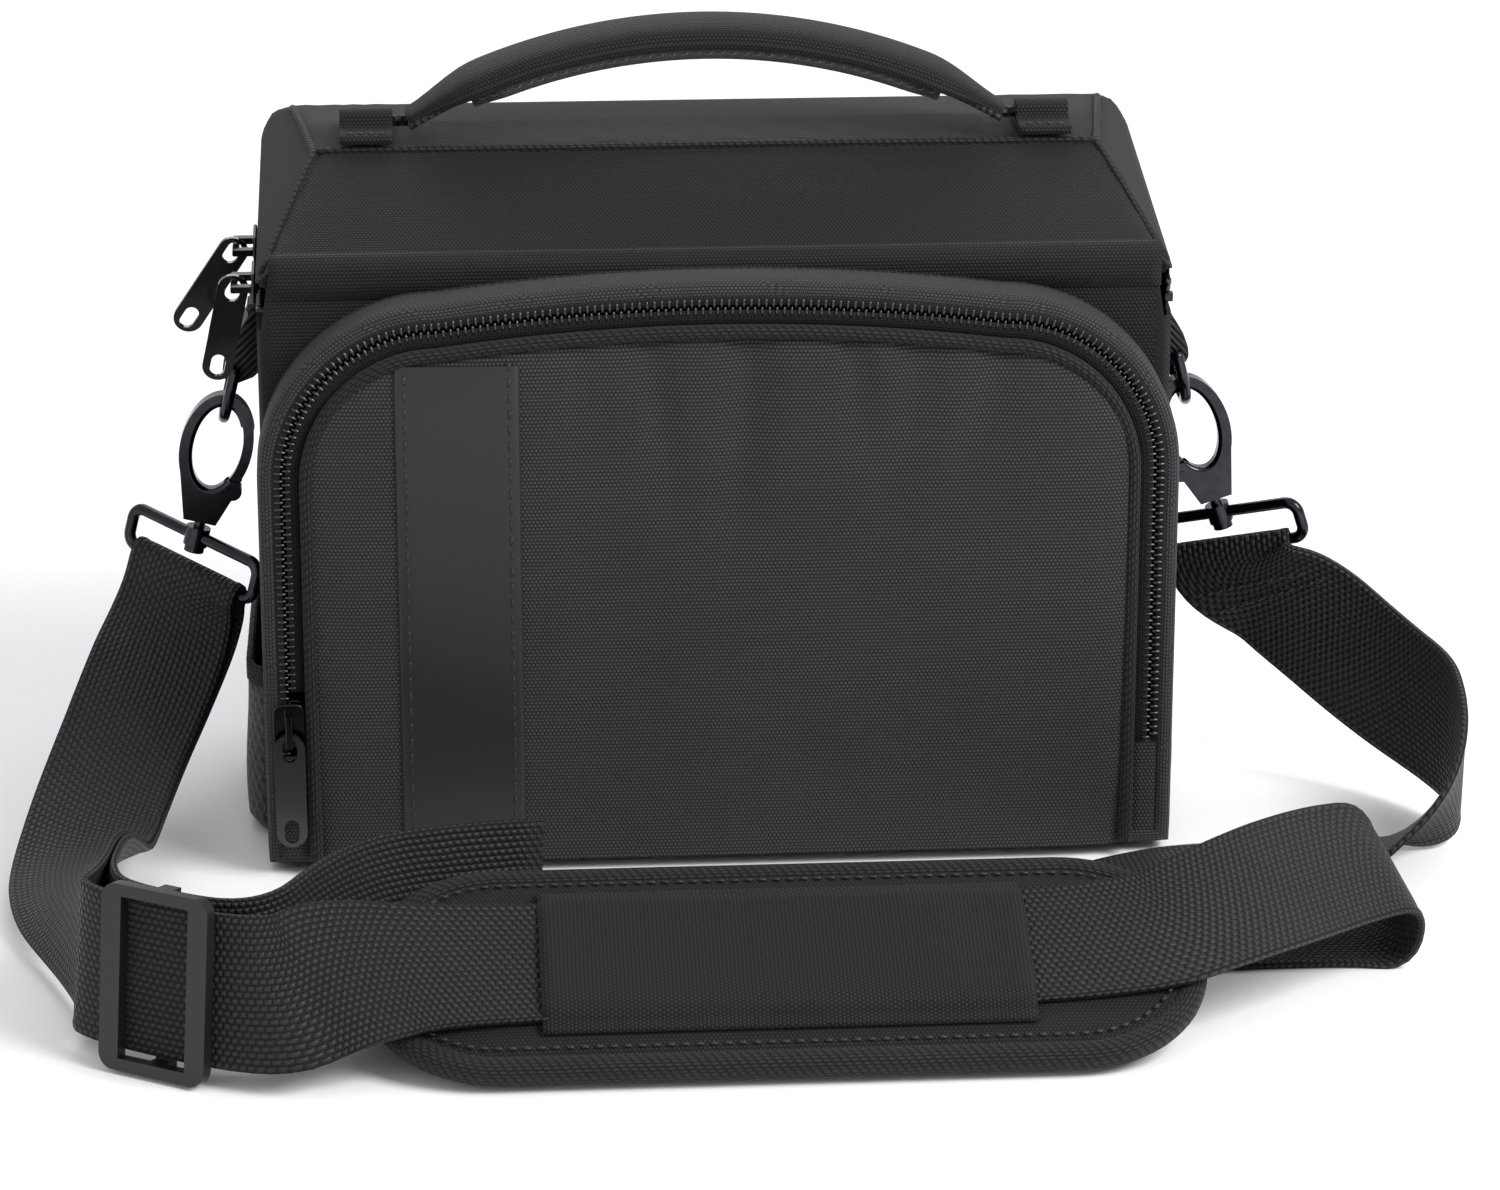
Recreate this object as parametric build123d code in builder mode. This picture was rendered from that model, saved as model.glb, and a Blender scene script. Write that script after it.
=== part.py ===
"""Camera bag: padded fabric tub, zipped lid hinged along its front fold, arched front pocket,
carry handle, side mesh pockets, two dividers and a shoulder strap on swivel hooks.

Millimetres. +Z is up, the pocket faces -Y, and the origin is the centre of the base on the ground.
"""
from build123d import *
from math import ceil, cos, degrees, radians, sin, tan
import os

# ---------------------------------------------------------------- driving dimensions
HALF_WIDTH = 119.0            # body and pocket, across
BODY_FRONT = -42.0            # front wall of the main compartment
BODY_BACK = 61.0
PLAN_CORNER = 14.0            # vertical corner radius of the tub, at the back
FRONT_CORNER = 3.0
FABRIC = 0.8
FOAM = 5.0
LINING = 0.8
WALL = FABRIC + FOAM + LINING
BOARD = 2.5                   # stiff board in the floor
FLOOR_TOP = FABRIC + BOARD + FOAM + LINING

ZIP_FRONT = (-38.0, 150.0)    # (Y, Z) of the main zip's low front end, on each side
ZIP_RISE = 0.22               # climb of the main zip towards the back
TEETH_NEAR, TEETH_FAR = 0.7, 2.7      # one coil half, measured from the middle of the zip
TAPE_EDGE = 6.0               # visible tape ends here, where the fabric starts
TAPE_END = 11.0               # tape sewn under the body fabric ends here

LID_FOLD = (BODY_FRONT, 160.0)        # (Y, Z) of the fold that the lid turns about
LID_FOAM = 4.0

POCKET_FRONT = -61.0
POCKET_TOP = 158.0
POCKET_BOTTOM = 3.0
ARCH_CORNER = 46.0            # radius of the pocket's upper corners
ARCH_RISE = 5.0               # crown of the pocket's top edge
GUSSET_BACK = BODY_FRONT - 0.2
GUSSET_FRONT = -57.2
FLAP_FOLD_Z = 30.0            # the pocket flap folds down here
POCKET_ZIP_MIDDLE = 5.9       # middle of the pocket zip, in from the pocket's edge
PANEL_INSET = 11.0            # front panel starts here, inside the zip

HANDLE_Y = 10.0
HANDLE_AXIS_Z = 187.0
HANDLE_HALF_SPAN = 80.0
HANDLE_TOP = 209.0            # centre line of the grip, at the middle

RING_PIVOT = (130.0, 5.0, 108.0)      # middle of each D-ring's lower wire (X mirrored on the left)
D_WIRE = 1.5                  # wire radius
HOOK_LENGTH = 34.5            # from the D-ring's wire to the strap ring's upper bar
STRAP_RING_DROP = 10.5        # between the strap ring's two bars
STRAP_RING_HALF = 22.9        # half the strap ring's width, to the middle of its wire
STRAP_RING_CORNER = 3.4
RING_WIRE = 1.6

WEBBING_WIDTH = 38.0
WEBBING_THICK = 1.6
WRAP = RING_WIRE + WEBBING_THICK / 2 + 0.05   # webbing middle to ring bar middle

os.makedirs("parts", exist_ok=True)


def save(part, label):
    """Label one finished piece and write it to its own STEP file."""
    part.label = label
    export_step(part, f"parts/{label}.step")


def zip_height(y):
    """Height of the middle of the main zip at depth y."""
    return ZIP_FRONT[1] + ZIP_RISE * (y - ZIP_FRONT[0])


# The main zip lies in one tilted plane; its normal points up and a little forward.
zip_plane = Plane(origin=(0, ZIP_FRONT[0], ZIP_FRONT[1]), x_dir=(1, 0, 0), z_dir=(0, -ZIP_RISE, 1))
travel = Vector(0, 1, ZIP_RISE).normalized()      # along the zip on the sides, towards the back


# ---------------------------------------------------------------- body tub
BODY_MID_Y = (BODY_FRONT + BODY_BACK) / 2


def plan_face(inset):
    """Outline of the tub seen from above, moved inwards by inset: round at the back only."""
    with BuildSketch() as outline:
        with Locations((0, BODY_MID_Y)):
            Rectangle(2 * (HALF_WIDTH - inset), BODY_BACK - BODY_FRONT - 2 * inset)
        fillet(outline.vertices().group_by(Axis.Y)[-1], PLAN_CORNER - inset)
        fillet(outline.vertices().group_by(Axis.Y)[0], max(FRONT_CORNER - inset, 0.6))
    return outline.sketch


def tub(outer, inner, bottom, floor, top_offset):
    """A tub between two insets of the plan outline, cut off parallel to the zip plane."""
    outside, inside = plan_face(outer), plan_face(inner)
    with BuildPart() as shell:
        with BuildSketch(Plane.XY.offset(bottom)):
            add(outside)
        extrude(amount=210 - bottom)
        with BuildSketch(Plane.XY.offset(floor)):
            add(inside)
        extrude(amount=210 - floor, mode=Mode.SUBTRACT)
        split(bisect_by=zip_plane.offset(top_offset), keep=Keep.BOTTOM)
    return shell.part


def zip_band(outer, inner, low, high, front_y):
    """A band round both sides and the back, between two planes parallel to the zip plane."""
    outside, inside = plan_face(outer), plan_face(inner)
    with BuildPart() as band:
        with BuildSketch(Plane.XY.offset(100)):
            add(outside)
            add(inside, mode=Mode.SUBTRACT)
        extrude(amount=110)
        split(bisect_by=zip_plane.offset(high), keep=Keep.BOTTOM)
        split(bisect_by=zip_plane.offset(low), keep=Keep.TOP)
        split(bisect_by=Plane(origin=(0, front_y, 0), z_dir=(0, 1, 0)), keep=Keep.TOP)
    return band.part


# The front wall stands higher than the sides, up to the lid's fold.
FRONT_WALL_TOP = LID_FOLD[1] - 2.5
FRONT_WALL_HALF = HALF_WIDTH - FRONT_CORNER


def front_rise(near, far, low):
    """The part of the front wall between the zip's plane and the lid's fold."""
    with BuildPart() as rise:
        with BuildSketch(Plane.XY.offset(100)):
            with Locations((0, BODY_FRONT + (near + far) / 2)):
                Rectangle(2 * FRONT_WALL_HALF, far - near)
        extrude(amount=FRONT_WALL_TOP - 100)
        split(bisect_by=zip_plane.offset(low), keep=Keep.TOP)
    return rise.part


save(tub(0, FABRIC, 0, FABRIC, -TAPE_EDGE) + front_rise(0, FABRIC, -TAPE_EDGE), "body_shell")
save(tub(FABRIC, FABRIC + FOAM, FABRIC + BOARD, FABRIC + BOARD + FOAM, -TAPE_END - 1.3)
     + front_rise(FABRIC, FABRIC + 2.4, -TAPE_END - 1.3), "body_foam")
save(tub(FABRIC + FOAM, WALL, FABRIC + BOARD + FOAM, FLOOR_TOP, -TAPE_END - 1.3), "body_lining")
save(zip_band(FABRIC, WALL, -TAPE_END - 1.3, -TAPE_END, BODY_FRONT + 8), "rim_binding")

board_outline = plan_face(FABRIC)
with BuildPart() as bottom_board:
    with BuildSketch(Plane.XY.offset(FABRIC)):
        add(board_outline)
    extrude(amount=BOARD)
save(bottom_board.part, "bottom_board")

# ---------------------------------------------------------------- main zip
TAPE_OUT, TAPE_IN = FABRIC, 2 * FABRIC            # the tape lies just inside the fabric's line
COIL_OUT, COIL_IN = 0.1, 1.9
LID_COIL_START = 4.0          # Y where the lid's coil starts, behind the parked sliders

save(zip_band(TAPE_OUT, TAPE_IN, -TAPE_END, -TEETH_FAR, ZIP_FRONT[0]), "body_zip_tape")
save(zip_band(COIL_OUT, COIL_IN, -TEETH_FAR, -TEETH_NEAR, ZIP_FRONT[0]), "body_zip_teeth")
save(zip_band(TAPE_OUT, TAPE_IN, TEETH_FAR, TAPE_EDGE, LID_COIL_START), "lid_zip_tape")
save(zip_band(COIL_OUT, COIL_IN, TEETH_NEAR, TEETH_FAR, LID_COIL_START), "lid_zip_teeth")

with BuildPart() as zip_end_stops:
    for side in (-1, 1):
        middle = Vector(side * (HALF_WIDTH - 1.0), ZIP_FRONT[0] - 1.6, ZIP_FRONT[1] - 1.8)
        with BuildSketch(Plane(origin=middle, x_dir=travel, z_dir=(side, 0, 0))):
            RectangleRounded(2.2, 2.4, 0.5)
        extrude(amount=1.0, both=True)
save(zip_end_stops.part, "zip_end_stops")

# ---------------------------------------------------------------- lid
LID_TOP_FRONT = (0.0, 181.0)
LID_TOP_CROWN = (24.0, 183.6)
LID_TOP_BACK = (50.0, 183.0)
LID_BACK_TOP = 178.5
HIP_TOP_X = 104.0             # side edge of the lid's top panel, at its front corner


def lid_block(inset):
    """Solid of the lid with every outer face moved inwards; it runs down past the zip."""
    outline = plan_face(inset)
    with BuildPart() as block:
        with BuildSketch(Plane.YZ.offset(-HALF_WIDTH)) as profile:
            with BuildLine():
                Polyline(LID_FOLD, LID_TOP_FRONT, LID_TOP_CROWN, LID_TOP_BACK,
                         (BODY_BACK, LID_BACK_TOP), (BODY_BACK, 140), (-30, 140),
                         (BODY_FRONT + 8, LID_FOLD[1] - 5.2), close=True)
            make_face()
            if inset:
                offset(amount=-inset, kind=Kind.INTERSECTION, mode=Mode.REPLACE)
        extrude(amount=2 * HALF_WIDTH)
        with BuildSketch(Plane.XY.offset(120)):
            add(outline)
        extrude(amount=90, mode=Mode.INTERSECT)
        for side in (-1, 1):
            low_front = Vector(side * HALF_WIDTH, ZIP_FRONT[0], zip_height(ZIP_FRONT[0]) + TAPE_EDGE)
            low_back = Vector(side * HALF_WIDTH, BODY_BACK, zip_height(BODY_BACK) + TAPE_EDGE)
            top_front = Vector(side * HIP_TOP_X, LID_TOP_FRONT[0], LID_TOP_FRONT[1])
            outward = (low_back - low_front).cross(top_front - low_front) * side
            hip = Plane(origin=low_front, z_dir=outward)
            split(bisect_by=hip.offset(-inset), keep=Keep.BOTTOM)
    return block.part


def lid_layer(outer, inner):
    """One layer of the lid's wall, open below along the zip."""
    solid = lid_block(outer)
    hollow = lid_block(inner)
    with BuildPart() as layer:
        add(solid)
        add(hollow, mode=Mode.SUBTRACT)
        split(bisect_by=zip_plane.offset(TAPE_EDGE), keep=Keep.TOP)
    return layer.part


save(lid_layer(0, FABRIC), "lid_shell")
save(lid_layer(FABRIC, FABRIC + LID_FOAM), "lid_foam")
save(lid_layer(FABRIC + LID_FOAM, 2 * FABRIC + LID_FOAM), "lid_lining")

# ---------------------------------------------------------------- carry handle
HANDLE_RISE = HANDLE_TOP - HANDLE_AXIS_Z
HANDLE_RADIUS = (HANDLE_HALF_SPAN ** 2 + HANDLE_RISE ** 2) / (2 * HANDLE_RISE)
HANDLE_CENTRE_Z = HANDLE_TOP - HANDLE_RADIUS
GRIP_HALF = 62.0
GRIP_WIDTH = 27.0
COVER_THICK = 5.0
MESH_THICK = 3.0
STRAP_CORE = 1.6
TAB_START, TAB_END = 83.0, 97.0
HINGE_ROLL = 1.6              # radius of the rolled end of the handle's webbing
TAB_ROLL = 3.4


def arch(low, high, half_span, width):
    """A strip of the handle's arch, between two offsets from its centre line."""
    with BuildPart() as strip:
        with BuildSketch(Plane.XZ.offset(-HANDLE_Y)):
            with Locations((0, HANDLE_CENTRE_Z)):
                Circle(HANDLE_RADIUS + high)
                Circle(HANDLE_RADIUS + low, mode=Mode.SUBTRACT)
            with Locations((0, HANDLE_CENTRE_Z + HANDLE_RADIUS)):
                Rectangle(2 * half_span, 80, mode=Mode.INTERSECT)
        extrude(amount=width / 2, both=True)
    return strip.part


with BuildPart() as handle_grip:
    add(arch(STRAP_CORE / 2, COVER_THICK, GRIP_HALF, GRIP_WIDTH))
    fillet(handle_grip.edges().filter_by(GeomType.CIRCLE).sort_by(
        lambda edge: edge.radius)[-2:], 2.5)
save(handle_grip.part, "handle_grip")
save(arch(-STRAP_CORE / 2 - MESH_THICK, -STRAP_CORE / 2, GRIP_HALF, GRIP_WIDTH - 2), "handle_mesh")

core = arch(-STRAP_CORE / 2, STRAP_CORE / 2, HANDLE_HALF_SPAN - 1, 20)
with BuildPart() as handle_webbing:
    add(core)
    for side in (-1, 1):
        with BuildSketch(Plane.YZ.offset(side * (HANDLE_HALF_SPAN - 2.5))):
            with Locations((HANDLE_Y, HANDLE_AXIS_Z)):
                Circle(HINGE_ROLL)
        extrude(amount=side * (TAB_END - HANDLE_HALF_SPAN - 1))
        with BuildSketch(Plane.YZ.offset(side * (HANDLE_HALF_SPAN - 2.5))):
            with Locations((HANDLE_Y, HANDLE_AXIS_Z)):
                RectangleRounded(20, 2 * HINGE_ROLL, 1.0)
        extrude(amount=side * 2.5)
save(handle_webbing.part, "handle_webbing")

# The cover is gathered round the webbing at both ends of the grip.
END_THICK, END_WIDTH = 2.4, 17.0
gathered = arch(STRAP_CORE / 2, STRAP_CORE / 2 + END_THICK, HANDLE_HALF_SPAN - 3, END_WIDTH)
with BuildPart() as handle_ends:
    add(gathered)
    with BuildSketch(Plane.XY.offset(HANDLE_AXIS_Z)):
        with Locations((0, HANDLE_Y)):
            Rectangle(2 * (GRIP_HALF + 0.1), 2 * GRIP_WIDTH)
    extrude(amount=2 * HANDLE_RISE, mode=Mode.SUBTRACT)
save(handle_ends.part, "handle_ends")

# One tab at each end is folded over the rolled webbing and sewn to the lid's top.
TAB_FLANGE = (24.0, 2.6)
lid_cut = lid_block(0)
with BuildPart() as handle_tabs:
    for side in (-1, 1):
        with BuildSketch(Plane.YZ.offset(side * TAB_START)):
            with Locations((HANDLE_Y, HANDLE_AXIS_Z)):
                Circle(TAB_ROLL)
            with Locations((HANDLE_Y, HANDLE_AXIS_Z - 2.4)):
                Rectangle(*TAB_FLANGE)
            with Locations((HANDLE_Y, HANDLE_AXIS_Z)):
                Circle(HINGE_ROLL + 0.06, mode=Mode.SUBTRACT)
        extrude(amount=side * (TAB_END - TAB_START))
    add(lid_cut, mode=Mode.SUBTRACT)
save(handle_tabs.part, "handle_tabs")

# ---------------------------------------------------------------- front pocket
def pocket_face(inset):
    """Arched outline of the pocket, moved inwards: square feet, wide upper corners, crowned top."""
    half = HALF_WIDTH - inset
    radius = ARCH_CORNER - inset
    shoulder = POCKET_TOP - ARCH_RISE - inset
    foot = POCKET_BOTTOM + inset
    with BuildSketch() as outline:
        with BuildLine():
            left = Line((-half, foot), (-half, shoulder - radius))
            left_arc = RadiusArc(left @ 1, (-half + radius, shoulder), radius)
            top = ThreePointArc(left_arc @ 1, (0, POCKET_TOP - inset), (half - radius, shoulder))
            right_arc = RadiusArc(top @ 1, (half, shoulder - radius), radius)
            Line(right_arc @ 1, (half, foot))
            Line((half, foot), (-half, foot))
        make_face()
    return outline.sketch


def pocket_ring(outer, inner, back, front, low=None, high=None):
    """A ring or (inner=None) a slab of the pocket's outline, between two depths and two heights."""
    outside = pocket_face(outer)
    inside = None if inner is None else pocket_face(inner)
    with BuildPart() as ring:
        with BuildSketch(Plane.XZ.offset(-back)):
            add(outside)
            if inside is not None:
                add(inside, mode=Mode.SUBTRACT)
        extrude(amount=back - front)
        if low is not None:
            split(bisect_by=Plane.XY.offset(low), keep=Keep.TOP)
        if high is not None:
            split(bisect_by=Plane.XY.offset(high), keep=Keep.BOTTOM)
    return ring.part


POCKET_COIL = (POCKET_ZIP_MIDDLE - TEETH_FAR, POCKET_ZIP_MIDDLE - TEETH_NEAR)
FLAP_COIL = (POCKET_ZIP_MIDDLE + TEETH_NEAR, POCKET_ZIP_MIDDLE + TEETH_FAR)
FLAP_COIL_START = FLAP_FOLD_Z + 21.0      # above the parked pocket slider
TAPE_FRONT = GUSSET_FRONT - FABRIC
COIL_FRONT = GUSSET_FRONT - 1.3
COIL_BACK = GUSSET_FRONT + 0.5

save(pocket_ring(0, 1.5, GUSSET_BACK, GUSSET_FRONT), "pocket_gusset")
save(pocket_ring(0, POCKET_COIL[0], GUSSET_FRONT, TAPE_FRONT, low=FLAP_FOLD_Z + 0.4), "pocket_zip_tape")
save(pocket_ring(*POCKET_COIL, COIL_BACK, COIL_FRONT, low=FLAP_FOLD_Z + 2), "pocket_zip_teeth")
save(pocket_ring(FLAP_COIL[1], PANEL_INSET, GUSSET_FRONT, TAPE_FRONT, low=FLAP_COIL_START), "flap_zip_tape")
save(pocket_ring(*FLAP_COIL, COIL_BACK, COIL_FRONT, low=FLAP_COIL_START), "flap_zip_teeth")

TRIM_LEFT, TRIM_WIDTH, TRIM_THICK = -84.0, 32.0, 0.9
PANEL_THICK = 1.0
FLAP_LOW = FLAP_FOLD_Z + 0.4


def trim(low, high):
    """A length of the vertical leather band on the face of the pocket."""
    with BuildPart() as band:
        with BuildSketch(Plane.XZ.offset(-POCKET_FRONT)):
            with Locations((TRIM_LEFT + TRIM_WIDTH / 2, (low + high) / 2)):
                Rectangle(TRIM_WIDTH, high - low)
        extrude(amount=TRIM_THICK)
    return band.part


save(pocket_ring(PANEL_INSET, None, POCKET_FRONT + PANEL_THICK, POCKET_FRONT, low=FLAP_LOW), "pocket_panel")
save(pocket_ring(PANEL_INSET, None, GUSSET_FRONT, POCKET_FRONT + PANEL_THICK, low=FLAP_LOW), "pocket_foam")
save(trim(FLAP_LOW, POCKET_TOP - PANEL_INSET - 1), "trim_band")
save(pocket_ring(0, None, GUSSET_FRONT, POCKET_FRONT, high=FLAP_FOLD_Z), "pocket_lower_panel")
save(trim(POCKET_BOTTOM + 1, FLAP_FOLD_Z), "trim_band_lower")

# ---------------------------------------------------------------- zip sliders and pulls
SLIDER_LENGTH, SLIDER_WIDTH = 12.0, 8.6
PLATE = 1.0
CHANNEL = 2.5                 # between the two plates
POST_WIDTH = 0.8              # runs in the gap between the two coil halves
BRIDGE_HIGH = 5.5             # top of the bridge above the slider's face
BRIDGE_WIRE = 0.9             # radius of the bridge's bar
BRIDGE_HALF = 3.6             # between the bridge's middle and each leg
BAR_HIGH = CHANNEL / 2 + PLATE + BRIDGE_HIGH - BRIDGE_WIRE
PULL_LENGTH, PULL_WIDTH, PULL_THICK = 31.0, 8.0, 1.2
PULL_RIM = 1.1                # metal left at each end of the pull, beyond its holes
PULL_HOLE = (6.4, 3.8)        # length and width of each oval hole
PULL_PLAY = 0.3


def slider(plane):
    """A zip slider: x_dir along its travel, z_dir out of the tape, origin in mid coil."""
    inner_face = CHANNEL / 2
    with BuildPart() as body:
        for level in (inner_face, -inner_face - PLATE):
            with BuildSketch(plane.offset(level)):
                RectangleRounded(SLIDER_LENGTH, SLIDER_WIDTH, 2.5)
            extrude(amount=PLATE)
        with BuildSketch(plane.offset(-inner_face)):
            with Locations((SLIDER_LENGTH / 2 - 2.5, 0)):
                SlotOverall(3.0, POST_WIDTH)
        extrude(amount=CHANNEL)
        with BuildSketch(plane.offset(inner_face + PLATE)):
            with Locations((-BRIDGE_HALF, 0), (BRIDGE_HALF, 0)):
                Rectangle(2 * BRIDGE_WIRE, 2 * BRIDGE_WIRE)
        extrude(amount=BRIDGE_HIGH)
        with BuildSketch(plane.offset(BAR_HIGH - BRIDGE_WIRE)):
            Rectangle(2 * BRIDGE_HALF, 2 * BRIDGE_WIRE)
        extrude(amount=2 * BRIDGE_WIRE)
        fillet(body.edges().filter_by(Axis((0, 0, 0), plane.x_dir)), 0.45)
    return body.part


def pull(wire, down, face):
    """A pull tab with an oval hole at each end; wire is the middle of what its top hole hangs on."""
    hole_start = -BRIDGE_WIRE - PULL_PLAY
    tab_start = hole_start - PULL_RIM
    with BuildPart() as tab:
        with BuildSketch(Plane(origin=wire - face * PULL_THICK / 2, x_dir=down, z_dir=face)):
            with Locations((tab_start + PULL_LENGTH / 2, 0)):
                SlotOverall(PULL_LENGTH, PULL_WIDTH)
            far_hole = tab_start + PULL_LENGTH - PULL_RIM - PULL_HOLE[0] / 2
            with Locations((hole_start + PULL_HOLE[0] / 2, 0), (far_hole, 0)):
                SlotOverall(*PULL_HOLE, mode=Mode.SUBTRACT)
        extrude(amount=PULL_THICK)
    return tab.part


SIDE_COIL_X = -(HALF_WIDTH - (COIL_OUT + COIL_IN) / 2)
for name, pull_name, park_y, swing in (("slider_rear", "pull_rear", -5.0, 32.0),
                                       ("slider_front", "pull_front", -26.0, 12.0)):
    seat = Plane(origin=(SIDE_COIL_X, park_y, zip_height(park_y)), x_dir=travel, z_dir=(-1, 0, 0))
    save(slider(seat), name)
    hang = Vector(-sin(radians(swing)), 0, -cos(radians(swing)))
    centre = seat.origin + seat.z_dir * BAR_HIGH
    face = travel
    hang = (hang - face * hang.dot(face)).normalized()
    save(pull(centre, hang, face), pull_name)
    print(name, "bar at", tuple(round(v, 2) for v in centre), "pull along", tuple(round(v, 3) for v in hang))

parked = (-(HALF_WIDTH - POCKET_ZIP_MIDDLE), (COIL_BACK + COIL_FRONT) / 2, FLAP_FOLD_Z + 12)
pocket_seat = Plane(origin=parked, x_dir=(0, 0, 1), z_dir=(0, -1, 0))
save(slider(pocket_seat), "slider_pocket")
# This pull hangs on the bridge's lower leg, with its top rim inside the bridge.
leg_depth = BAR_HIGH - BRIDGE_WIRE - PULL_PLAY - PULL_RIM / 2
pocket_leg = pocket_seat.origin + pocket_seat.z_dir * leg_depth - Vector(0, 0, BRIDGE_HALF)
save(pull(pocket_leg, Vector(0, 0, -1), Vector(0, -1, 0)), "pull_pocket")
rim_middle = pocket_leg + Vector(0, 0, BRIDGE_WIRE + PULL_PLAY + PULL_RIM / 2)
print("pocket pull turns about", tuple(round(v, 2) for v in rim_middle))

# ---------------------------------------------------------------- inside: two padded dividers
DIVIDER_X = 38.0
DIVIDER_THICK = 8.0
DIVIDER_CLEAR = 1.0
DIVIDER_HEIGHT = 112.0
for side, name in ((-1, "divider_left"), (1, "divider_right")):
    depth = BODY_BACK - BODY_FRONT - 2 * (WALL + DIVIDER_CLEAR)
    with BuildPart() as divider:
        with BuildSketch(Plane.XY.offset(FLOOR_TOP + 0.4)):
            with Locations((side * DIVIDER_X, BODY_MID_Y)):
                RectangleRounded(DIVIDER_THICK, depth, 2.5)
        extrude(amount=DIVIDER_HEIGHT)
        fillet(divider.faces().sort_by(Axis.Z)[-1].edges(), 2.0)
    save(divider.part, name)

# ---------------------------------------------------------------- side mesh pockets and tabs
MESH_OUT = 6.5                # how far the mesh pocket stands off the side
MESH_FRONT, MESH_BACK = -30.0, 46.0
MESH_LOW, MESH_HIGH = 2.0, 48.0
MESH_THICK = 1.0
BINDING_HIGH = 6.0


def side_pocket(side, low, high, out, thick, floor):
    """A pocket wall standing off the bag's side: curved front, open at the top."""
    wall_x = side * (HALF_WIDTH + 0.1)
    mid_y, length = (MESH_FRONT + MESH_BACK) / 2, MESH_BACK - MESH_FRONT
    with BuildPart() as pocket:
        for inset, mode, start in ((0, Mode.ADD, low), (thick, Mode.SUBTRACT, low + floor)):
            with BuildSketch(Plane.XY.offset(start)):
                with Locations((wall_x, mid_y)):
                    RectangleRounded(2 * (out - inset), length - 2 * inset, out - inset - 0.2)
                with Locations((wall_x - side * 50, mid_y)):
                    Rectangle(100, 2 * length, mode=Mode.SUBTRACT)
            extrude(amount=high - start, mode=mode)
    return pocket.part


for side, end in ((-1, "left"), (1, "right")):
    mesh_top = MESH_HIGH - BINDING_HIGH
    save(side_pocket(side, MESH_LOW, mesh_top, MESH_OUT, MESH_THICK, 1.2), f"mesh_pocket_{end}")
    save(side_pocket(side, mesh_top, MESH_HIGH, MESH_OUT, MESH_THICK + 0.5, 0), f"mesh_binding_{end}")

# ---------------------------------------------------------------- D-rings on sewn tabs
D_LEAN = 14.0                 # degrees that each D-ring leans out from the bag
D_HALF, D_HEIGHT, D_ARC = 10.9, 15.0, 10.9
LOOP_ROLL = 3.3
TAB_HALF = 9.0
TAB_HIGH = 19.0               # the sewn part of the tab, above the ring's bar


def mirrored(point, side):
    """A point given for the right-hand side, on either side."""
    return Vector(point[0] * side, point[1], point[2])


for side, end in ((-1, "left"), (1, "right")):
    lean = radians(D_LEAN)
    up = Vector(-side * sin(lean), 0, cos(lean))
    low_wire = mirrored(RING_PIVOT, side)
    bar_middle = low_wire + up * D_HEIGHT
    with BuildPart() as d_ring:
        face = Plane(origin=low_wire, x_dir=(0, 1, 0), z_dir=Vector(0, 1, 0).cross(up))
        with BuildLine(face) as d_path:
            bar = Line((-D_HALF, D_HEIGHT), (D_HALF, D_HEIGHT))
            leg = Line(bar @ 1, (D_HALF, D_ARC))
            bow = ThreePointArc(leg @ 1, (0, 0), (-D_HALF, D_ARC))
            Line(bow @ 1, bar @ 0)
        with BuildSketch(Plane(origin=d_path.line @ 0.1, z_dir=d_path.line % 0.1)):
            Circle(D_WIRE)
        sweep(transition=Transition.ROUND)
    save(d_ring.part, f"d_ring_{end}")
    wall_x = side * (HALF_WIDTH + 0.1)
    with BuildPart() as loop:
        with BuildSketch(Plane.XZ.offset(-low_wire.Y)):
            with Locations((bar_middle.X, bar_middle.Z)):
                Circle(LOOP_ROLL)
            with BuildLine():
                Polyline((wall_x, bar_middle.Z + 1), (wall_x, bar_middle.Z + TAB_HIGH),
                         (wall_x + side * 3.2, bar_middle.Z + TAB_HIGH),
                         (bar_middle.X + side * 3.0, bar_middle.Z + 1.4),
                         (bar_middle.X - side * 1.5, bar_middle.Z - 2.9), close=True)
            make_face()
            with Locations((bar_middle.X, bar_middle.Z)):
                Circle(D_WIRE + 0.06, mode=Mode.SUBTRACT)
            with Locations((wall_x - side * 20, bar_middle.Z)):
                Rectangle(40, 60, mode=Mode.SUBTRACT)
        extrude(amount=TAB_HALF, both=True)
    save(loop.part, f"ring_tab_{end}")
    print(end, "D-ring bar", tuple(round(v, 2) for v in bar_middle))

# ---------------------------------------------------------------- swivel hooks and strap rings
HOOK_TILT = {-1: 14.0, 1: 18.0}       # degrees the hook's long axis leans out, left and right
RING_TURN = {-1: 40.0, 1: 30.0}       # degrees each strap ring is turned about that axis
HOOK_DEPTH = 5.0
EYE = (6.3, 11.6, -8.7)               # half width, half height and middle height of the opening
EYE_WALL = 3.6
BASE_TOP, BASE_LOW = -17.0, -30.0
GATE_PIVOT = (-6.6, -20.0)
GATE_EYE = 2.6
GATE_THICK = 2.6
PIN = 0.8
COLLAR = 3.3
POST = 1.5


def hook_plane(side):
    """Frame of one hook: x_dir out from the bag, y_dir up the hook, z_dir across it."""
    tilt = radians(HOOK_TILT[side])
    outward = Vector(side * cos(tilt), 0, sin(tilt))
    along = Vector(-side * sin(tilt), 0, cos(tilt))
    return Plane(origin=mirrored(RING_PIVOT, side), x_dir=outward, z_dir=outward.cross(along))


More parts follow.
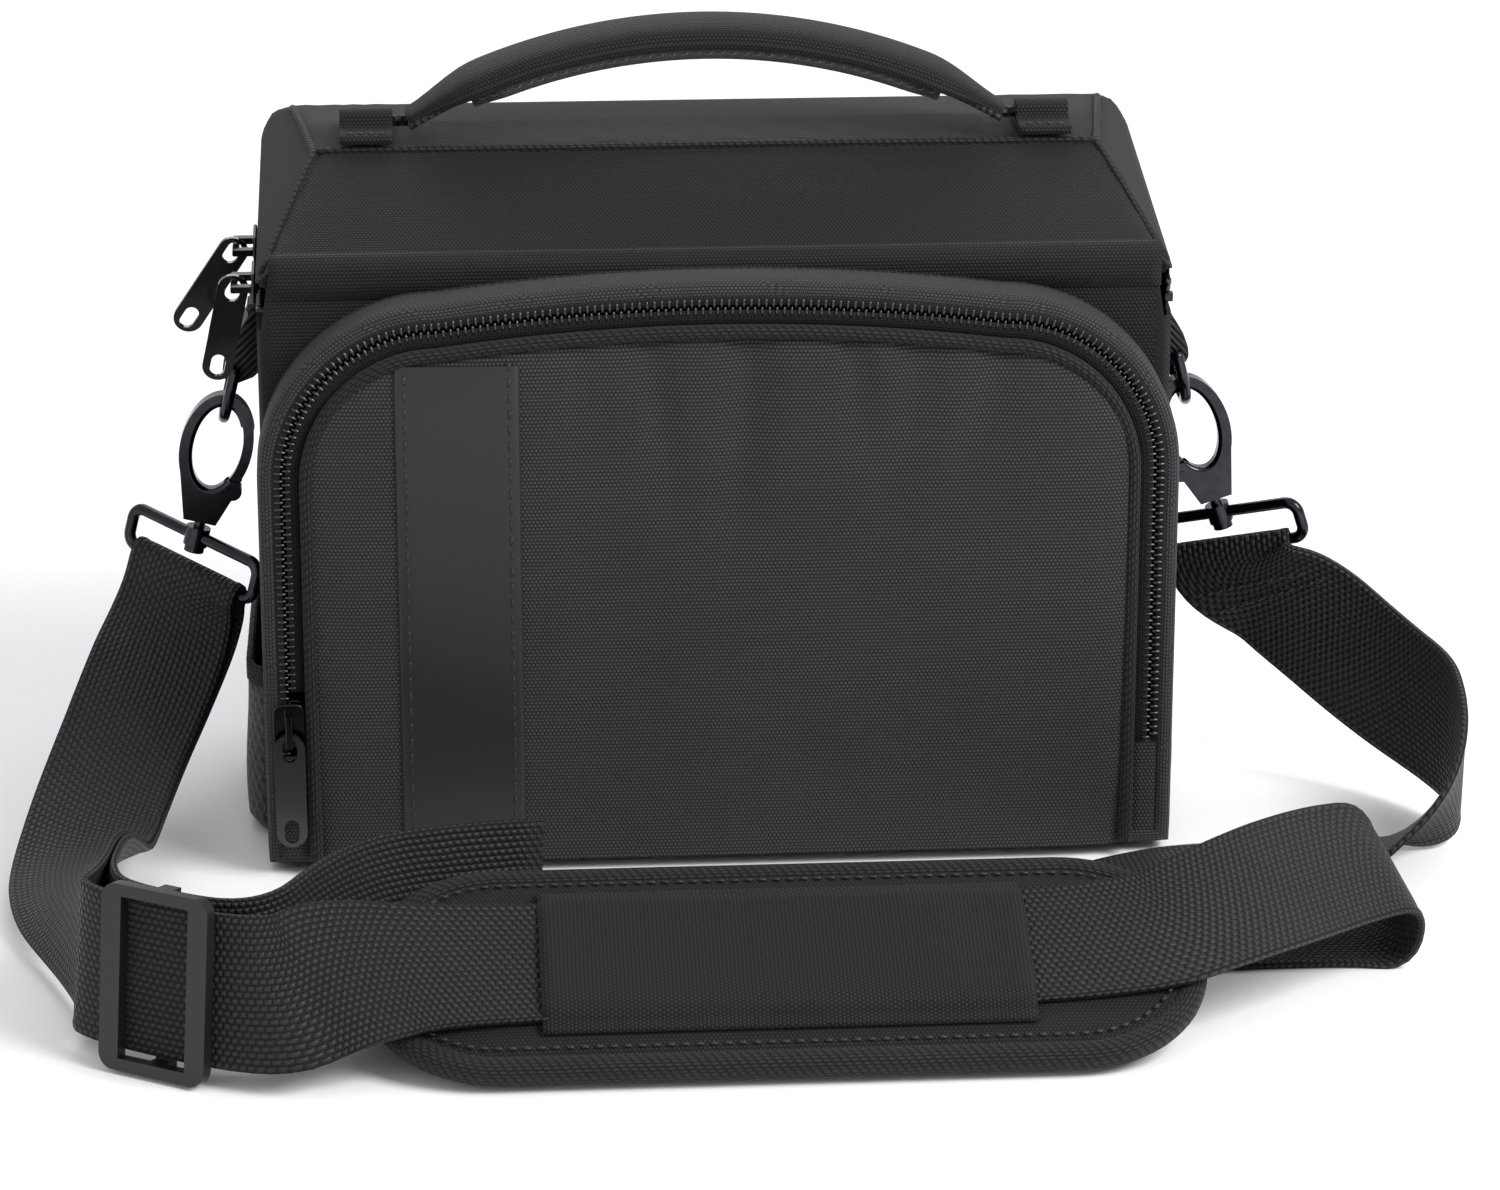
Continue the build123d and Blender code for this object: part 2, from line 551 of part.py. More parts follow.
def hook_outline():
    """Teardrop of the hook: an oval round the opening, running down into a tapered base."""
    with BuildSketch() as shape:
        with Locations((0, EYE[2])):
            Ellipse(EYE[0] + EYE_WALL, EYE[1] + EYE_WALL)
        with BuildLine():
            Polyline((-9.2, -15.5), (-4.2, BASE_LOW), (4.6, BASE_LOW), (9.4, -13.0), (5.0, -14.0),
                     (-5.0, -15.0), close=True)
        make_face()
        with Locations((0, EYE[2])):
            Ellipse(EYE[0], EYE[1], mode=Mode.SUBTRACT)
    return shape.sketch


GATE_TOP = -1.5
for side, end in ((-1, "left"), (1, "right")):
    frame = hook_plane(side)
    outline = hook_outline()
    with BuildPart() as hook:
        with BuildSketch(frame):
            add(outline)
        extrude(amount=HOOK_DEPTH / 2, both=True)
        with BuildSketch(frame):
            with Locations((-8.4, (GATE_TOP + GATE_PIVOT[1] - 3) / 2)):
                Rectangle(9.0, GATE_TOP - GATE_PIVOT[1] + 3)
        extrude(amount=(GATE_THICK + 0.4) / 2, both=True, mode=Mode.SUBTRACT)
        with BuildSketch(frame):
            with Locations((-8.4, (GATE_TOP + BASE_TOP) / 2)):
                Rectangle(9.0, GATE_TOP - BASE_TOP)
        extrude(amount=HOOK_DEPTH, both=True, mode=Mode.SUBTRACT)
        with BuildSketch(frame):
            with Locations(GATE_PIVOT):
                Circle(PIN)
        extrude(amount=HOOK_DEPTH, both=True, mode=Mode.SUBTRACT)
        base = frame.origin + frame.y_dir * BASE_LOW
        with BuildSketch(Plane(origin=base, z_dir=frame.y_dir)):
            Circle(POST)
        extrude(amount=4, mode=Mode.SUBTRACT)
        fillet(hook.edges().filter_by(GeomType.ELLIPSE).group_by(Edge.length)[-1], 1.2)
    save(hook.part, f"hook_{end}")
    with BuildPart() as gate:
        with BuildSketch(frame):
            with Locations((0, EYE[2])):
                Ellipse(EYE[0] + EYE_WALL - 0.3, EYE[1] + EYE_WALL - 0.3)
                Ellipse(EYE[0] + 0.5, EYE[1] + 0.5, mode=Mode.SUBTRACT)
            with Locations((-8.4, (GATE_TOP + GATE_PIVOT[1]) / 2)):
                Rectangle(8.0, GATE_TOP - GATE_PIVOT[1] - 0.8, mode=Mode.INTERSECT)
            with Locations(GATE_PIVOT):
                Circle(GATE_EYE)
                Circle(PIN + 0.06, mode=Mode.SUBTRACT)
        extrude(amount=GATE_THICK / 2, both=True)
    save(gate.part, f"gate_{end}")
    with BuildPart() as pin:
        with BuildSketch(frame):
            with Locations(GATE_PIVOT):
                Circle(PIN)
        extrude(amount=HOOK_DEPTH / 2 + 0.3, both=True)
    save(pin.part, f"gate_pin_{end}")

    # The post is riveted through the strap ring's collar, and the hook turns with it.
    collar_middle = frame.origin - frame.y_dir * HOOK_LENGTH
    with BuildPart() as post:
        with BuildSketch(Plane(origin=base + frame.y_dir * 4, z_dir=-frame.y_dir)):
            Circle(POST)
        extrude(amount=HOOK_LENGTH + BASE_LOW + 4 + 3.2)
        with BuildSketch(Plane(origin=collar_middle - frame.y_dir * 2.9, z_dir=-frame.y_dir)):
            Circle(2.7)
        extrude(amount=1.5)
    save(post.part, f"swivel_post_{end}")

    turn = radians(RING_TURN[side])
    across = frame.x_dir * cos(turn) * side - Vector(0, 1, 0) * sin(turn)
    ring_middle = collar_middle - frame.y_dir * (STRAP_RING_DROP / 2)
    with BuildSketch(Plane(origin=ring_middle, x_dir=across, z_dir=across.cross(frame.y_dir))) as bars:
        RectangleRounded(2 * STRAP_RING_HALF, STRAP_RING_DROP, STRAP_RING_CORNER)
    ring_wire = bars.sketch.face().outer_wire()
    with BuildPart() as strap_ring:
        with BuildSketch(Plane(origin=ring_wire @ 0, z_dir=ring_wire % 0)):
            Circle(RING_WIRE)
        sweep(path=ring_wire)
        with BuildSketch(Plane(origin=collar_middle + frame.y_dir * 2.6, z_dir=-frame.y_dir)):
            Circle(COLLAR)
        extrude(amount=5.2)
        with BuildSketch(Plane(origin=collar_middle + frame.y_dir * 5, z_dir=-frame.y_dir)):
            Circle(POST + 0.06)
        extrude(amount=12, mode=Mode.SUBTRACT)
    save(strap_ring.part, f"strap_ring_{end}")
    low_bar = collar_middle - frame.y_dir * STRAP_RING_DROP
    print(end, "hook axis down", tuple(round(v, 3) for v in (frame.y_dir * -1)), "collar",
          tuple(round(v, 2) for v in collar_middle), "low bar", tuple(round(v, 2) for v in low_bar),
          "across", tuple(round(v, 3) for v in across),
          "gate pivot", tuple(round(v, 2) for v in frame.from_local_coords(Vector(*GATE_PIVOT, 0))))

# ---------------------------------------------------------------- shoulder strap
PAD_LENGTH, PAD_WIDTH, PAD_THICK = 206.0, 70.0, 7.0
PAD_X = 7.5
PAD_FRONT = (-206.0, 3.6)     # (Y, Z) of the middle of the pad's front edge, on the ground
PAD_TILT = 23.0               # degrees its back edge is raised
PAD_END = 34.0                # radius of the pad's round ends
SLEEVE_LENGTH, SLEEVE_WIDTH, SLEEVE_THICK = 118.0, 46.0, 1.2
PLAY = 0.3                    # between the webbing and what it runs through

pad_across = Vector(0, cos(radians(PAD_TILT)), sin(radians(PAD_TILT)))
pad_middle = Vector(PAD_X, *PAD_FRONT) + pad_across * (PAD_WIDTH / 2)
pad_face = Plane(origin=pad_middle, x_dir=(1, 0, 0), z_dir=Vector(1, 0, 0).cross(pad_across))
sleeve_lift = PAD_THICK / 2 + PLAY + WEBBING_THICK / 2

with BuildPart() as pad:
    with BuildSketch(pad_face.offset(-PAD_THICK / 2)):
        RectangleRounded(PAD_LENGTH, PAD_WIDTH, PAD_END)
    extrude(amount=PAD_THICK)
    fillet(pad.edges().group_by(SortBy.LENGTH)[-1], 2.0)
save(pad.part, "shoulder_pad")

with BuildPart() as sleeve:
    inner_high = PAD_THICK / 2 + 2 * PLAY + WEBBING_THICK
    with BuildSketch(pad_face.offset(PAD_THICK / 2)):
        Rectangle(SLEEVE_LENGTH, SLEEVE_WIDTH)
    extrude(amount=inner_high + SLEEVE_THICK - PAD_THICK / 2)
    with BuildSketch(pad_face.offset(PAD_THICK / 2)):
        Rectangle(SLEEVE_LENGTH, WEBBING_WIDTH + 2.0)
    extrude(amount=inner_high - PAD_THICK / 2, mode=Mode.SUBTRACT)
save(sleeve.part, "pad_sleeve")

# Tri-glide: two bars over the webbing and one behind it, standing on its edge on the ground.
GLIDE_MIDDLE = Vector(-141.0, -186.0, 23.6)
GLIDE_LENGTH, GLIDE_TALL, GLIDE_THICK = 30.0, 46.0, 3.2
GLIDE_BAR = 5.5
GLIDE_SLOT = 40.0
GLIDE_LEAN = 6.0              # degrees it leans back
glide_along = Vector(0.85, -0.53, 0).normalized()
glide_back = Vector(0.53, 0.85, 0).normalized()
glide_up = Vector(0, 0, 1) * cos(radians(GLIDE_LEAN)) + glide_back * sin(radians(GLIDE_LEAN))
glide_face = Plane(origin=GLIDE_MIDDLE, x_dir=glide_along, z_dir=glide_along.cross(glide_up))

with BuildPart() as tri_glide:
    with BuildSketch(glide_face.offset(WEBBING_THICK / 2 + PLAY)):
        RectangleRounded(GLIDE_LENGTH, GLIDE_TALL, 4.0)
        Rectangle(GLIDE_LENGTH - 2 * GLIDE_BAR, GLIDE_SLOT, mode=Mode.SUBTRACT)
    extrude(amount=GLIDE_THICK)
    with BuildSketch(glide_face.offset(-WEBBING_THICK / 2 - PLAY - 2.4)):
        Rectangle(4.5, GLIDE_TALL - 1)
    extrude(amount=2.4)
    end_high = 2.4 + WEBBING_THICK + 2 * PLAY + 0.4
    for end in (-1, 1):
        with BuildSketch(glide_face.offset(-WEBBING_THICK / 2 - PLAY - 2.4)):
            with Locations((0, end * (GLIDE_SLOT + GLIDE_TALL - 1) / 4)):
                Rectangle(4.5, (GLIDE_TALL - 1 - GLIDE_SLOT) / 2)
        extrude(amount=end_high)
save(tri_glide.part, "tri_glide")


def direction(x, y, z):
    """Unit vector."""
    return Vector(x, y, z).normalized()


def ring_end(side):
    """Strap ring geometry at one end: lower bar's middle, direction across, and face normal."""
    frame = hook_plane(side)
    turn = radians(RING_TURN[side])
    across = frame.x_dir * cos(turn) * side - Vector(0, 1, 0) * sin(turn)
    down = frame.y_dir * -1
    bar = frame.origin + down * (HOOK_LENGTH + STRAP_RING_DROP)
    return bar, across, down, down.cross(across).normalized()


left_bar, left_across, left_down, left_face = ring_end(-1)
right_bar, right_across, right_down, right_face = ring_end(1)
lie = pad_face.z_dir * sleeve_lift
pad_left = pad_middle + lie - Vector(SLEEVE_LENGTH / 2 + 16, 0, 0)
pad_right = pad_middle + lie + Vector(SLEEVE_LENGTH / 2 + 16, 0, 0)
upright = glide_up
FLAT = 1.0                    # height of the webbing's middle where it lies on the ground

# Each station: a point of the webbing's middle line, and the direction from its lower (or front)
# edge to its upper (or back) edge. The run goes from the left ring to the right one.
strap_route = [
    (left_bar - left_down * WRAP, left_across),
    (left_bar - left_down * WRAP + left_face * WRAP, left_across),
    (left_bar + left_face * WRAP + left_down * 10, left_across),
    (Vector(-152, -14, 39), direction(0.78, -0.52, -0.30)),
    (Vector(-163, -34, 18), direction(0.82, -0.55, -0.12)),
    (Vector(-168, -60, 9), direction(0.86, -0.42, 0.16)),
    (Vector(-168, -92, 14), direction(0.84, -0.12, 0.50)),
    (Vector(-163, -126, 21), direction(0.45, 0.06, 0.88)),
    (Vector(-159, -158, 23), direction(0.12, 0.14, 0.98)),
    (GLIDE_MIDDLE - glide_along * 27, upright),
    (GLIDE_MIDDLE + glide_along * 31, upright),
    (Vector(-100, -191, 27), direction(0.05, 0.78, 0.62)),
    (pad_left - Vector(4, 0, 0), pad_across),
    (pad_right + Vector(6, 0, 0), pad_across),
    (Vector(118, -165, 28.5), direction(-0.18, 0.90, 0.42)),
    (Vector(148, -140, 28), direction(-0.30, 0.83, 0.47)),
    (Vector(166, -130, 26), direction(-0.22, 0.86, 0.40)),
    (Vector(167, -124, FLAT + 0.6), direction(-0.05, 1, 0)),
    (Vector(140, -122, FLAT), direction(0, 1, 0)),
    (Vector(112, -123, FLAT), direction(0.05, 1, 0)),
    (Vector(84, -124, FLAT + 1), direction(0.0, 1, 0)),
    (Vector(82, -123.5, FLAT + 11), direction(0, 1, 0)),
    (Vector(112, -106, FLAT + 11), direction(-0.42, 0.90, 0)),
    (Vector(136, -88, FLAT + 6), direction(-0.40, 0.92, 0)),
    (Vector(160, -80, 3.5), direction(-0.05, 0.99, -0.08)),
    (Vector(184, -78, 14), direction(0.22, 0.88, -0.42)),
    (Vector(198, -62, 22), direction(0.12, 0.50, -0.86)),
    (Vector(198, -36, 26), direction(-0.08, 0.12, -0.99)),
    (Vector(182, -14, 34), direction(-0.42, 0.36, -0.83)),
    (Vector(163, 0, 49), direction(-0.72, 0.46, -0.52)),
    (right_bar + right_face * WRAP + right_down * 8, right_across * -1),
    (right_bar - right_down * WRAP + right_face * WRAP, right_across * -1),
    (right_bar - right_down * WRAP, right_across * -1),
]

# The adjusting layer lies just behind the run from the left ring, passes behind the tri-glide's
# centre bar, and its free tail is tucked behind the pad.
BEHIND = WEBBING_THICK + 0.7
GLIDE_STATION = 8             # strap_route's station just before the tri-glide


def behind(route, i):
    """A station at the back of station i of a route."""
    along = (route[i + 1][0] - route[i - 1][0]).normalized()
    point, edge = route[i]
    return (point - along.cross(edge).normalized() * BEHIND, edge)


tail_route = [
    strap_route[0],
    (left_bar - left_down * WRAP - left_face * WRAP, left_across),
    (left_bar - left_face * WRAP + left_down * 10, left_across),
    *[behind(strap_route, i) for i in range(3, GLIDE_STATION + 1)],
    (GLIDE_MIDDLE - glide_along * 15 + glide_back * 7, upright),
    (GLIDE_MIDDLE + glide_along * 22 + glide_back * 9, upright),
    (Vector(-99, -160, 26), direction(-0.05, 0.25, 0.96)),
    (Vector(-80, -138, 23), direction(-0.10, 0.20, 0.97)),
    (Vector(-50, -126, 20.2), direction(-0.03, 0.06, 0.99)),
]


def corner_radii(points):
    """Radius of the arc at each inner corner: 0.45 of the shorter run, over the half-turn's tangent."""
    radii = []
    for before, corner, after in zip(points, points[1:], points[2:]):
        turn = radians((corner - before).get_angle(after - corner))
        shorter = min((corner - before).length, (after - corner).length)
        radii.append(0.45 * shorter / tan(turn / 2))
    return radii


def webbing(route, label):
    """A flat band along a route of straight runs and tangent arcs, turning with its stations."""
    points = [point for point, edge in route]
    radii = corner_radii(points)
    with BuildLine() as line:
        FilletPolyline(*points, radius=radii)
    path = line.wire()
    reach = [0.0]
    for start, end in zip(points, points[1:]):
        reach.append(reach[-1] + (end - start).length)
    fractions = [0.0]
    for edge in path.edges().sort_by(path):
        steps = max(1, ceil(edge.length / 9))
        if edge.geom_type == GeomType.CIRCLE:
            steps = max(steps, ceil(degrees(edge.length / edge.radius) / 18))
        share = edge.length / path.length / steps
        fractions += [fractions[-1] + share * (i + 1) for i in range(steps)]
    sections = []
    for fraction in fractions:
        along = min(fraction, 1.0) * reach[-1]
        i = max(k for k in range(len(route) - 1) if reach[k] <= along)
        blend = min((along - reach[i]) / (reach[i + 1] - reach[i]), 1.0)
        tangent = path % min(fraction, 1.0)
        edge_way = route[i][1] * (1 - blend) + route[i + 1][1] * blend
        edge_way = (edge_way - tangent * edge_way.dot(tangent)).normalized()
        sections.append(Plane(origin=path @ min(fraction, 1.0), x_dir=edge_way, z_dir=tangent))
    with BuildPart() as band:
        for section in sections:
            with BuildSketch(section):
                Rectangle(WEBBING_WIDTH, WEBBING_THICK)
        loft(ruled=True)
    expected = path.length * WEBBING_WIDTH * WEBBING_THICK
    print(label, "length", round(path.length), "radii", [round(r, 1) for r in radii],
          "volume against section times length", round(band.part.volume / expected, 3))
    save(band.part, label)


webbing(strap_route, "strap_webbing")
webbing(tail_route, "strap_tail")
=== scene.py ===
"""Looks of a padded camera bag: fabrics, zips, carry handle, shoulder strap and metal fittings.

Every mesh is laid out in millimetres in the frame's axes and written in metres.
"""
import logging
import math
from collections.abc import Callable, Iterable, Sequence
from dataclasses import dataclass, field
from enum import Enum
from typing import ClassVar

import bpy
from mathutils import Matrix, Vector


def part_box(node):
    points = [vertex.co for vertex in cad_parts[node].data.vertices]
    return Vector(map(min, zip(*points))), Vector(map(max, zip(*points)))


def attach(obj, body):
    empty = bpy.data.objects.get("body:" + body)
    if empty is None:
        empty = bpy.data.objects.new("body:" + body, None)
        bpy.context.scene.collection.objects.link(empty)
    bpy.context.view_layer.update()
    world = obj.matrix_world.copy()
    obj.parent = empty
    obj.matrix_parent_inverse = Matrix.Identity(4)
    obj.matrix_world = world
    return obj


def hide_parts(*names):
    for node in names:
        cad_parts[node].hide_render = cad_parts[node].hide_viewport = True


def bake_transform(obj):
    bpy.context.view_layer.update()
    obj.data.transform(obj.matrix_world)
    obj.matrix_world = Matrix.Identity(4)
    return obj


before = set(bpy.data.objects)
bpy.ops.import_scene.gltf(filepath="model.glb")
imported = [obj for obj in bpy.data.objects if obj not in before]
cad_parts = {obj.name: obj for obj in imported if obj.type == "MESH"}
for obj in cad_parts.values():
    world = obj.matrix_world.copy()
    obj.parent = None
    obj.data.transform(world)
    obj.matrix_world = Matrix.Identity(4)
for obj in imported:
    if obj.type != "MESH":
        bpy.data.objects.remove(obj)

MM = 0.001
CLOTH = "cloth"               # corner attribute: position on the cloth, in millimetres
MIX_FIRST, MIX_SECOND, MIX_RESULT = 6, 7, 2      # a Mix node's colour inputs and colour output
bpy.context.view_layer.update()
log = logging.getLogger("camera_bag")

Flat = tuple[float, float]
Rows = list[list[Vector]]


# ------------------------------------------------------------------ materials
def linear(hex_colour: str) -> tuple[float, float, float, float]:
    """Turn an sRGB hex colour to linear.

    Args:
        hex_colour: Six hex digits, such as "1c1d20".

    Returns:
        Linear red, green, blue and an alpha of 1.
    """
    channels = [int(hex_colour[i:i + 2], 16) / 255 for i in (0, 2, 4)]
    return (*[c / 12.92 if c <= 0.04045 else ((c + 0.055) / 1.055) ** 2.4 for c in channels], 1.0)


def add_node(tree: bpy.types.NodeTree, kind: str, settings: dict | None = None,
             links: dict | None = None) -> bpy.types.Node:
    """Add one node with its settings and links.

    Args:
        tree: The material's node tree.
        kind: The node's type, such as "ShaderNodeMath".
        settings: Attribute values by name, or input values by index or socket name.
        links: Output socket by the index or name of the input that it feeds.

    Returns:
        The new node.
    """
    node = tree.nodes.new(kind)
    for key, value in (settings or {}).items():
        if isinstance(key, str) and hasattr(node, key):
            setattr(node, key, value)
        else:
            node.inputs[key].default_value = value
    for key, socket in (links or {}).items():
        tree.links.new(socket, node.inputs[key])
    return node


def math_node(tree: bpy.types.NodeTree, operation: str, *values: float | bpy.types.NodeSocket,
              ) -> bpy.types.NodeSocket:
    """Add a Math node.

    Args:
        tree: The material's node tree.
        operation: The Math node's operation.
        values: Numbers or sockets, one for each input in turn.

    Returns:
        The node's output socket.
    """
    numbers = {i: v for i, v in enumerate(values) if isinstance(v, (int, float))}
    sockets = {i: v for i, v in enumerate(values) if not isinstance(v, (int, float))}
    return add_node(tree, "ShaderNodeMath", {"operation": operation, **numbers}, sockets).outputs[0]


def map_range(tree: bpy.types.NodeTree, value: bpy.types.NodeSocket, low: float,
              high: float) -> bpy.types.NodeSocket:
    """Turn a value from 0 to 1 into one from low to high."""
    return add_node(tree, "ShaderNodeMapRange", {"To Min": low, "To Max": high}, {"Value": value}).outputs[0]


def blend_colours(tree: bpy.types.NodeTree, share: bpy.types.NodeSocket, first: str,
                  second: str) -> bpy.types.NodeSocket:
    """Mix two sRGB hex colours, by the share that the second one has."""
    settings = {"data_type": "RGBA", MIX_FIRST: linear(first), MIX_SECOND: linear(second)}
    return add_node(tree, "ShaderNodeMix", settings, {0: share}).outputs[MIX_RESULT]


def sine_crowns(tree: bpy.types.NodeTree, *ways: bpy.types.NodeSocket) -> bpy.types.NodeSocket:
    """Multiply the rounded crowns that rise once in every unit along each way."""
    crowns = [math_node(tree, "ABSOLUTE", math_node(tree, "SINE", math_node(tree, "MULTIPLY", way, math.pi)))
              for way in ways]
    return math_node(tree, "MULTIPLY", *crowns)


class Finish:
    """Base of every finish: it makes its material once and hands it out again after that."""

    name: ClassVar[str] = "finish"
    made: ClassVar[dict[str, bpy.types.Material]] = {}

    def material(self) -> bpy.types.Material:
        """Return this finish's material, made at the first call."""
        if self.name not in Finish.made:
            material = bpy.data.materials.new(self.name)
            material.use_nodes = True
            tree = material.node_tree
            tree.nodes.clear()
            shader = add_node(tree, "ShaderNodeBsdfPrincipled")
            add_node(tree, "ShaderNodeOutputMaterial", links={0: shader.outputs[0]})
            self.dress(tree, shader)
            Finish.made[self.name] = material
        return Finish.made[self.name]

    def dress(self, tree: bpy.types.NodeTree, shader: bpy.types.Node) -> None:
        """Set up the shader.

        Args:
            tree: The material's node tree.
            shader: Its Principled BSDF.
        """
        raise NotImplementedError

    def noise(self, tree: bpy.types.NodeTree, size_mm: float, detail: float = 3.0) -> bpy.types.NodeSocket:
        """Solid noise whose grain is about size_mm across.

        Args:
            tree: The material's node tree.
            size_mm: Grain size in millimetres.
            detail: Octaves of the noise.

        Returns:
            The noise's value socket.
        """
        place = add_node(tree, "ShaderNodeTexCoord").outputs["Object"]
        return add_node(tree, "ShaderNodeTexNoise", {"Scale": 1000 / size_mm, "Detail": detail},
                        {"Vector": place}).outputs[0]


@dataclass(frozen=True)
class Woven(Finish):
    """A woven fabric: threads at real spacings along and across the cloth."""

    name: str = "woven"
    # The crown colour carries a painted highlight, and the colour between threads is painted shade.
    thread: str = "3a3b3f"        # sRGB of a thread's lit crown
    painted_gap_shade: str = "0b0b0d"           # sRGB of the painted shade between threads
    along_mm: float = 1.05        # thread spacing along the cloth
    across_mm: float = 0.95
    shift: float = 0.5            # each row's shift, as a share of the spacing: 0.5 is a plain weave
    roughness: float = 0.62
    relief_mm: float = 0.16
    sheen: float = 0.05
    shine: float = 0.22           # specular level of the fibres
    wear: float = 0.3             # share of colour change over the cloth

    def dress(self, tree: bpy.types.NodeTree, shader: bpy.types.Node) -> None:
        """Weave the threads into colour, roughness and bump."""
        cloth = add_node(tree, "ShaderNodeAttribute", {"attribute_name": CLOTH}).outputs["Vector"]
        split = add_node(tree, "ShaderNodeSeparateXYZ", links={0: cloth})
        drift = math_node(tree, "MULTIPLY", self.noise(tree, 9.0), 0.35)
        row = math_node(tree, "ADD", math_node(tree, "DIVIDE", split.outputs[1], self.across_mm), drift)
        step = math_node(tree, "MULTIPLY", math_node(tree, "FLOOR", row), self.shift)
        column = math_node(tree, "ADD", math_node(tree, "DIVIDE", split.outputs[0], self.along_mm), step)
        height = math_node(tree, "POWER", sine_crowns(tree, column, row), 0.8)
        mottled = map_range(tree, self.noise(tree, 28.0, 5.0), 1 - self.wear, 1 + self.wear / 2)
        # Painted light: the colour runs from painted shade between the threads to a painted highlight on
        # their crowns, by the weave's height.
        colour = blend_colours(tree, math_node(tree, "MULTIPLY", height, mottled), self.painted_gap_shade, self.thread)
        rough = map_range(tree, height, min(self.roughness + 0.2, 1.0), self.roughness)
        bump = add_node(tree, "ShaderNodeBump", {"Strength": 0.8, "Distance": self.relief_mm * MM},
                        {"Height": height}).outputs[0]
        shader.inputs["Sheen Weight"].default_value = self.sheen
        shader.inputs["Sheen Roughness"].default_value = 0.5
        shader.inputs["Specular IOR Level"].default_value = self.shine
        tree.links.new(colour, shader.inputs["Base Color"])
        tree.links.new(rough, shader.inputs["Roughness"])
        tree.links.new(bump, shader.inputs["Normal"])


@dataclass(frozen=True)
class SpacerMesh(Finish):
    """Knitted polyester spacer mesh: round holes in a dark knit, with painted shade in the holes so it looks
    open, and matt.
    """

    name: str = "polyester_spacer_mesh"
    yarn: str = "1b1b1e"
    # Painted shade inside the holes: near-black where the knit opens.
    painted_hole_shade: str = "020203"
    pitch_mm: float = 3.2

    def dress(self, tree: bpy.types.NodeTree, shader: bpy.types.Node) -> None:
        """Draw staggered holes, deep and filled with painted shade."""
        cloth = add_node(tree, "ShaderNodeAttribute", {"attribute_name": CLOTH}).outputs["Vector"]
        split = add_node(tree, "ShaderNodeSeparateXYZ", links={0: cloth})
        row = math_node(tree, "DIVIDE", split.outputs[1], self.pitch_mm * math.sin(math.radians(60)))
        step = math_node(tree, "MULTIPLY", math_node(tree, "FLOOR", row), 0.5)
        column = math_node(tree, "ADD", math_node(tree, "DIVIDE", split.outputs[0], self.pitch_mm), step)
        depth = add_node(tree, "ShaderNodeMapRange",
                         {"interpolation_type": "SMOOTHSTEP", "From Min": 0.42, "From Max": 0.7},
                         {"Value": sine_crowns(tree, column, row)}).outputs[0]
        fibre = math_node(tree, "MULTIPLY", self.noise(tree, 0.5), 0.35)
        height = math_node(tree, "SUBTRACT", fibre, depth)
        # The holes' colour is painted shade, blended in by the hole mask.
        colour = blend_colours(tree, depth, self.yarn, self.painted_hole_shade)
        bump = add_node(tree, "ShaderNodeBump", {"Strength": 1.0, "Distance": 0.9 * MM}, {"Height": height})
        shader.inputs["Roughness"].default_value = 0.8
        shader.inputs["Sheen Weight"].default_value = 0.2
        tree.links.new(colour, shader.inputs["Base Color"])
        tree.links.new(bump.outputs[0], shader.inputs["Normal"])


@dataclass(frozen=True)
class Grained(Finish):
    """A surface with a fine solid grain: leather, moulded plastic, foam, thread or brushed lining."""

    name: str = "grained"
    light: str = "242426"
    dark: str = "161617"
    grain_mm: float = 0.8
    relief_mm: float = 0.05
    roughness: float = 0.45
    spread: float = 0.12          # how far the roughness varies
    ior: float = 1.5
    coat: float = 0.0
    sheen: float = 0.0
    metallic: float = 0.0

    def dress(self, tree: bpy.types.NodeTree, shader: bpy.types.Node) -> None:
        """Grain in colour, roughness and bump, with a slower change over the whole piece."""
        grain = self.noise(tree, self.grain_mm, 4.0)
        slow = self.noise(tree, 22.0, 3.0)
        blend = math_node(tree, "MULTIPLY_ADD", grain, 0.5, math_node(tree, "MULTIPLY", slow, 0.5))
        colour = blend_colours(tree, blend, self.dark, self.light)
        rough = map_range(tree, slow, max(self.roughness - self.spread, 0.02), self.roughness + self.spread)
        bump = add_node(tree, "ShaderNodeBump", {"Strength": 0.6, "Distance": self.relief_mm * MM},
                        {"Height": grain}).outputs[0]
        if not self.metallic:
            shader.inputs["IOR"].default_value = self.ior
        shader.inputs["Metallic"].default_value = self.metallic
        shader.inputs["Coat Weight"].default_value = self.coat
        shader.inputs["Sheen Weight"].default_value = self.sheen
        tree.links.new(colour, shader.inputs["Base Color"])
        tree.links.new(rough, shader.inputs["Roughness"])
        tree.links.new(bump, shader.inputs["Normal"])


# 600-denier polyester, coated behind: each thread's crown catches the light. The threads are 0.5 mm
# apart on the real cloth and drawn about twice as coarse, to show.
OXFORD = Woven("oxford_polyester_charcoal", thread="3b3b3f", painted_gap_shade="060607", sheen=0.06, relief_mm=0.3)
OXFORD_DARK = Woven("oxford_polyester_black", thread="1d1d20", painted_gap_shade="030304", sheen=0.04, relief_mm=0.25)
# Twill binding tape: a diagonal rib every 1.2 mm.
TWILL = Woven("twill_binding_tape", thread="242427", painted_gap_shade="020203", along_mm=2.2, across_mm=0.9, shift=0.3,
              relief_mm=0.35, sheen=0.04)
# Polypropylene webbing: columns of slanting floats 1.9 mm apart, shiny on their crowns.
WEBBING = Woven("polypropylene_webbing", thread="29292c", painted_gap_shade="010102", along_mm=2.0, across_mm=1.6,
                shift=0.5, roughness=0.42, relief_mm=0.7, sheen=0.02)
# Zip tape: a fine herringbone, darker than the cloth that it is sewn to.
ZIP_TAPE = Woven("woven_zip_tape", thread="121214", painted_gap_shade="020203", along_mm=1.0, across_mm=0.8, shift=0.33,
                 sheen=0.03)
MESH = SpacerMesh()
# Polyurethane-coated leather, smooth and satin, with a very low grain.
COATED_LEATHER = Grained("polyurethane_leather", "1a1a1c", "121213", 0.6, 0.03, 0.45, 0.06, 1.46)
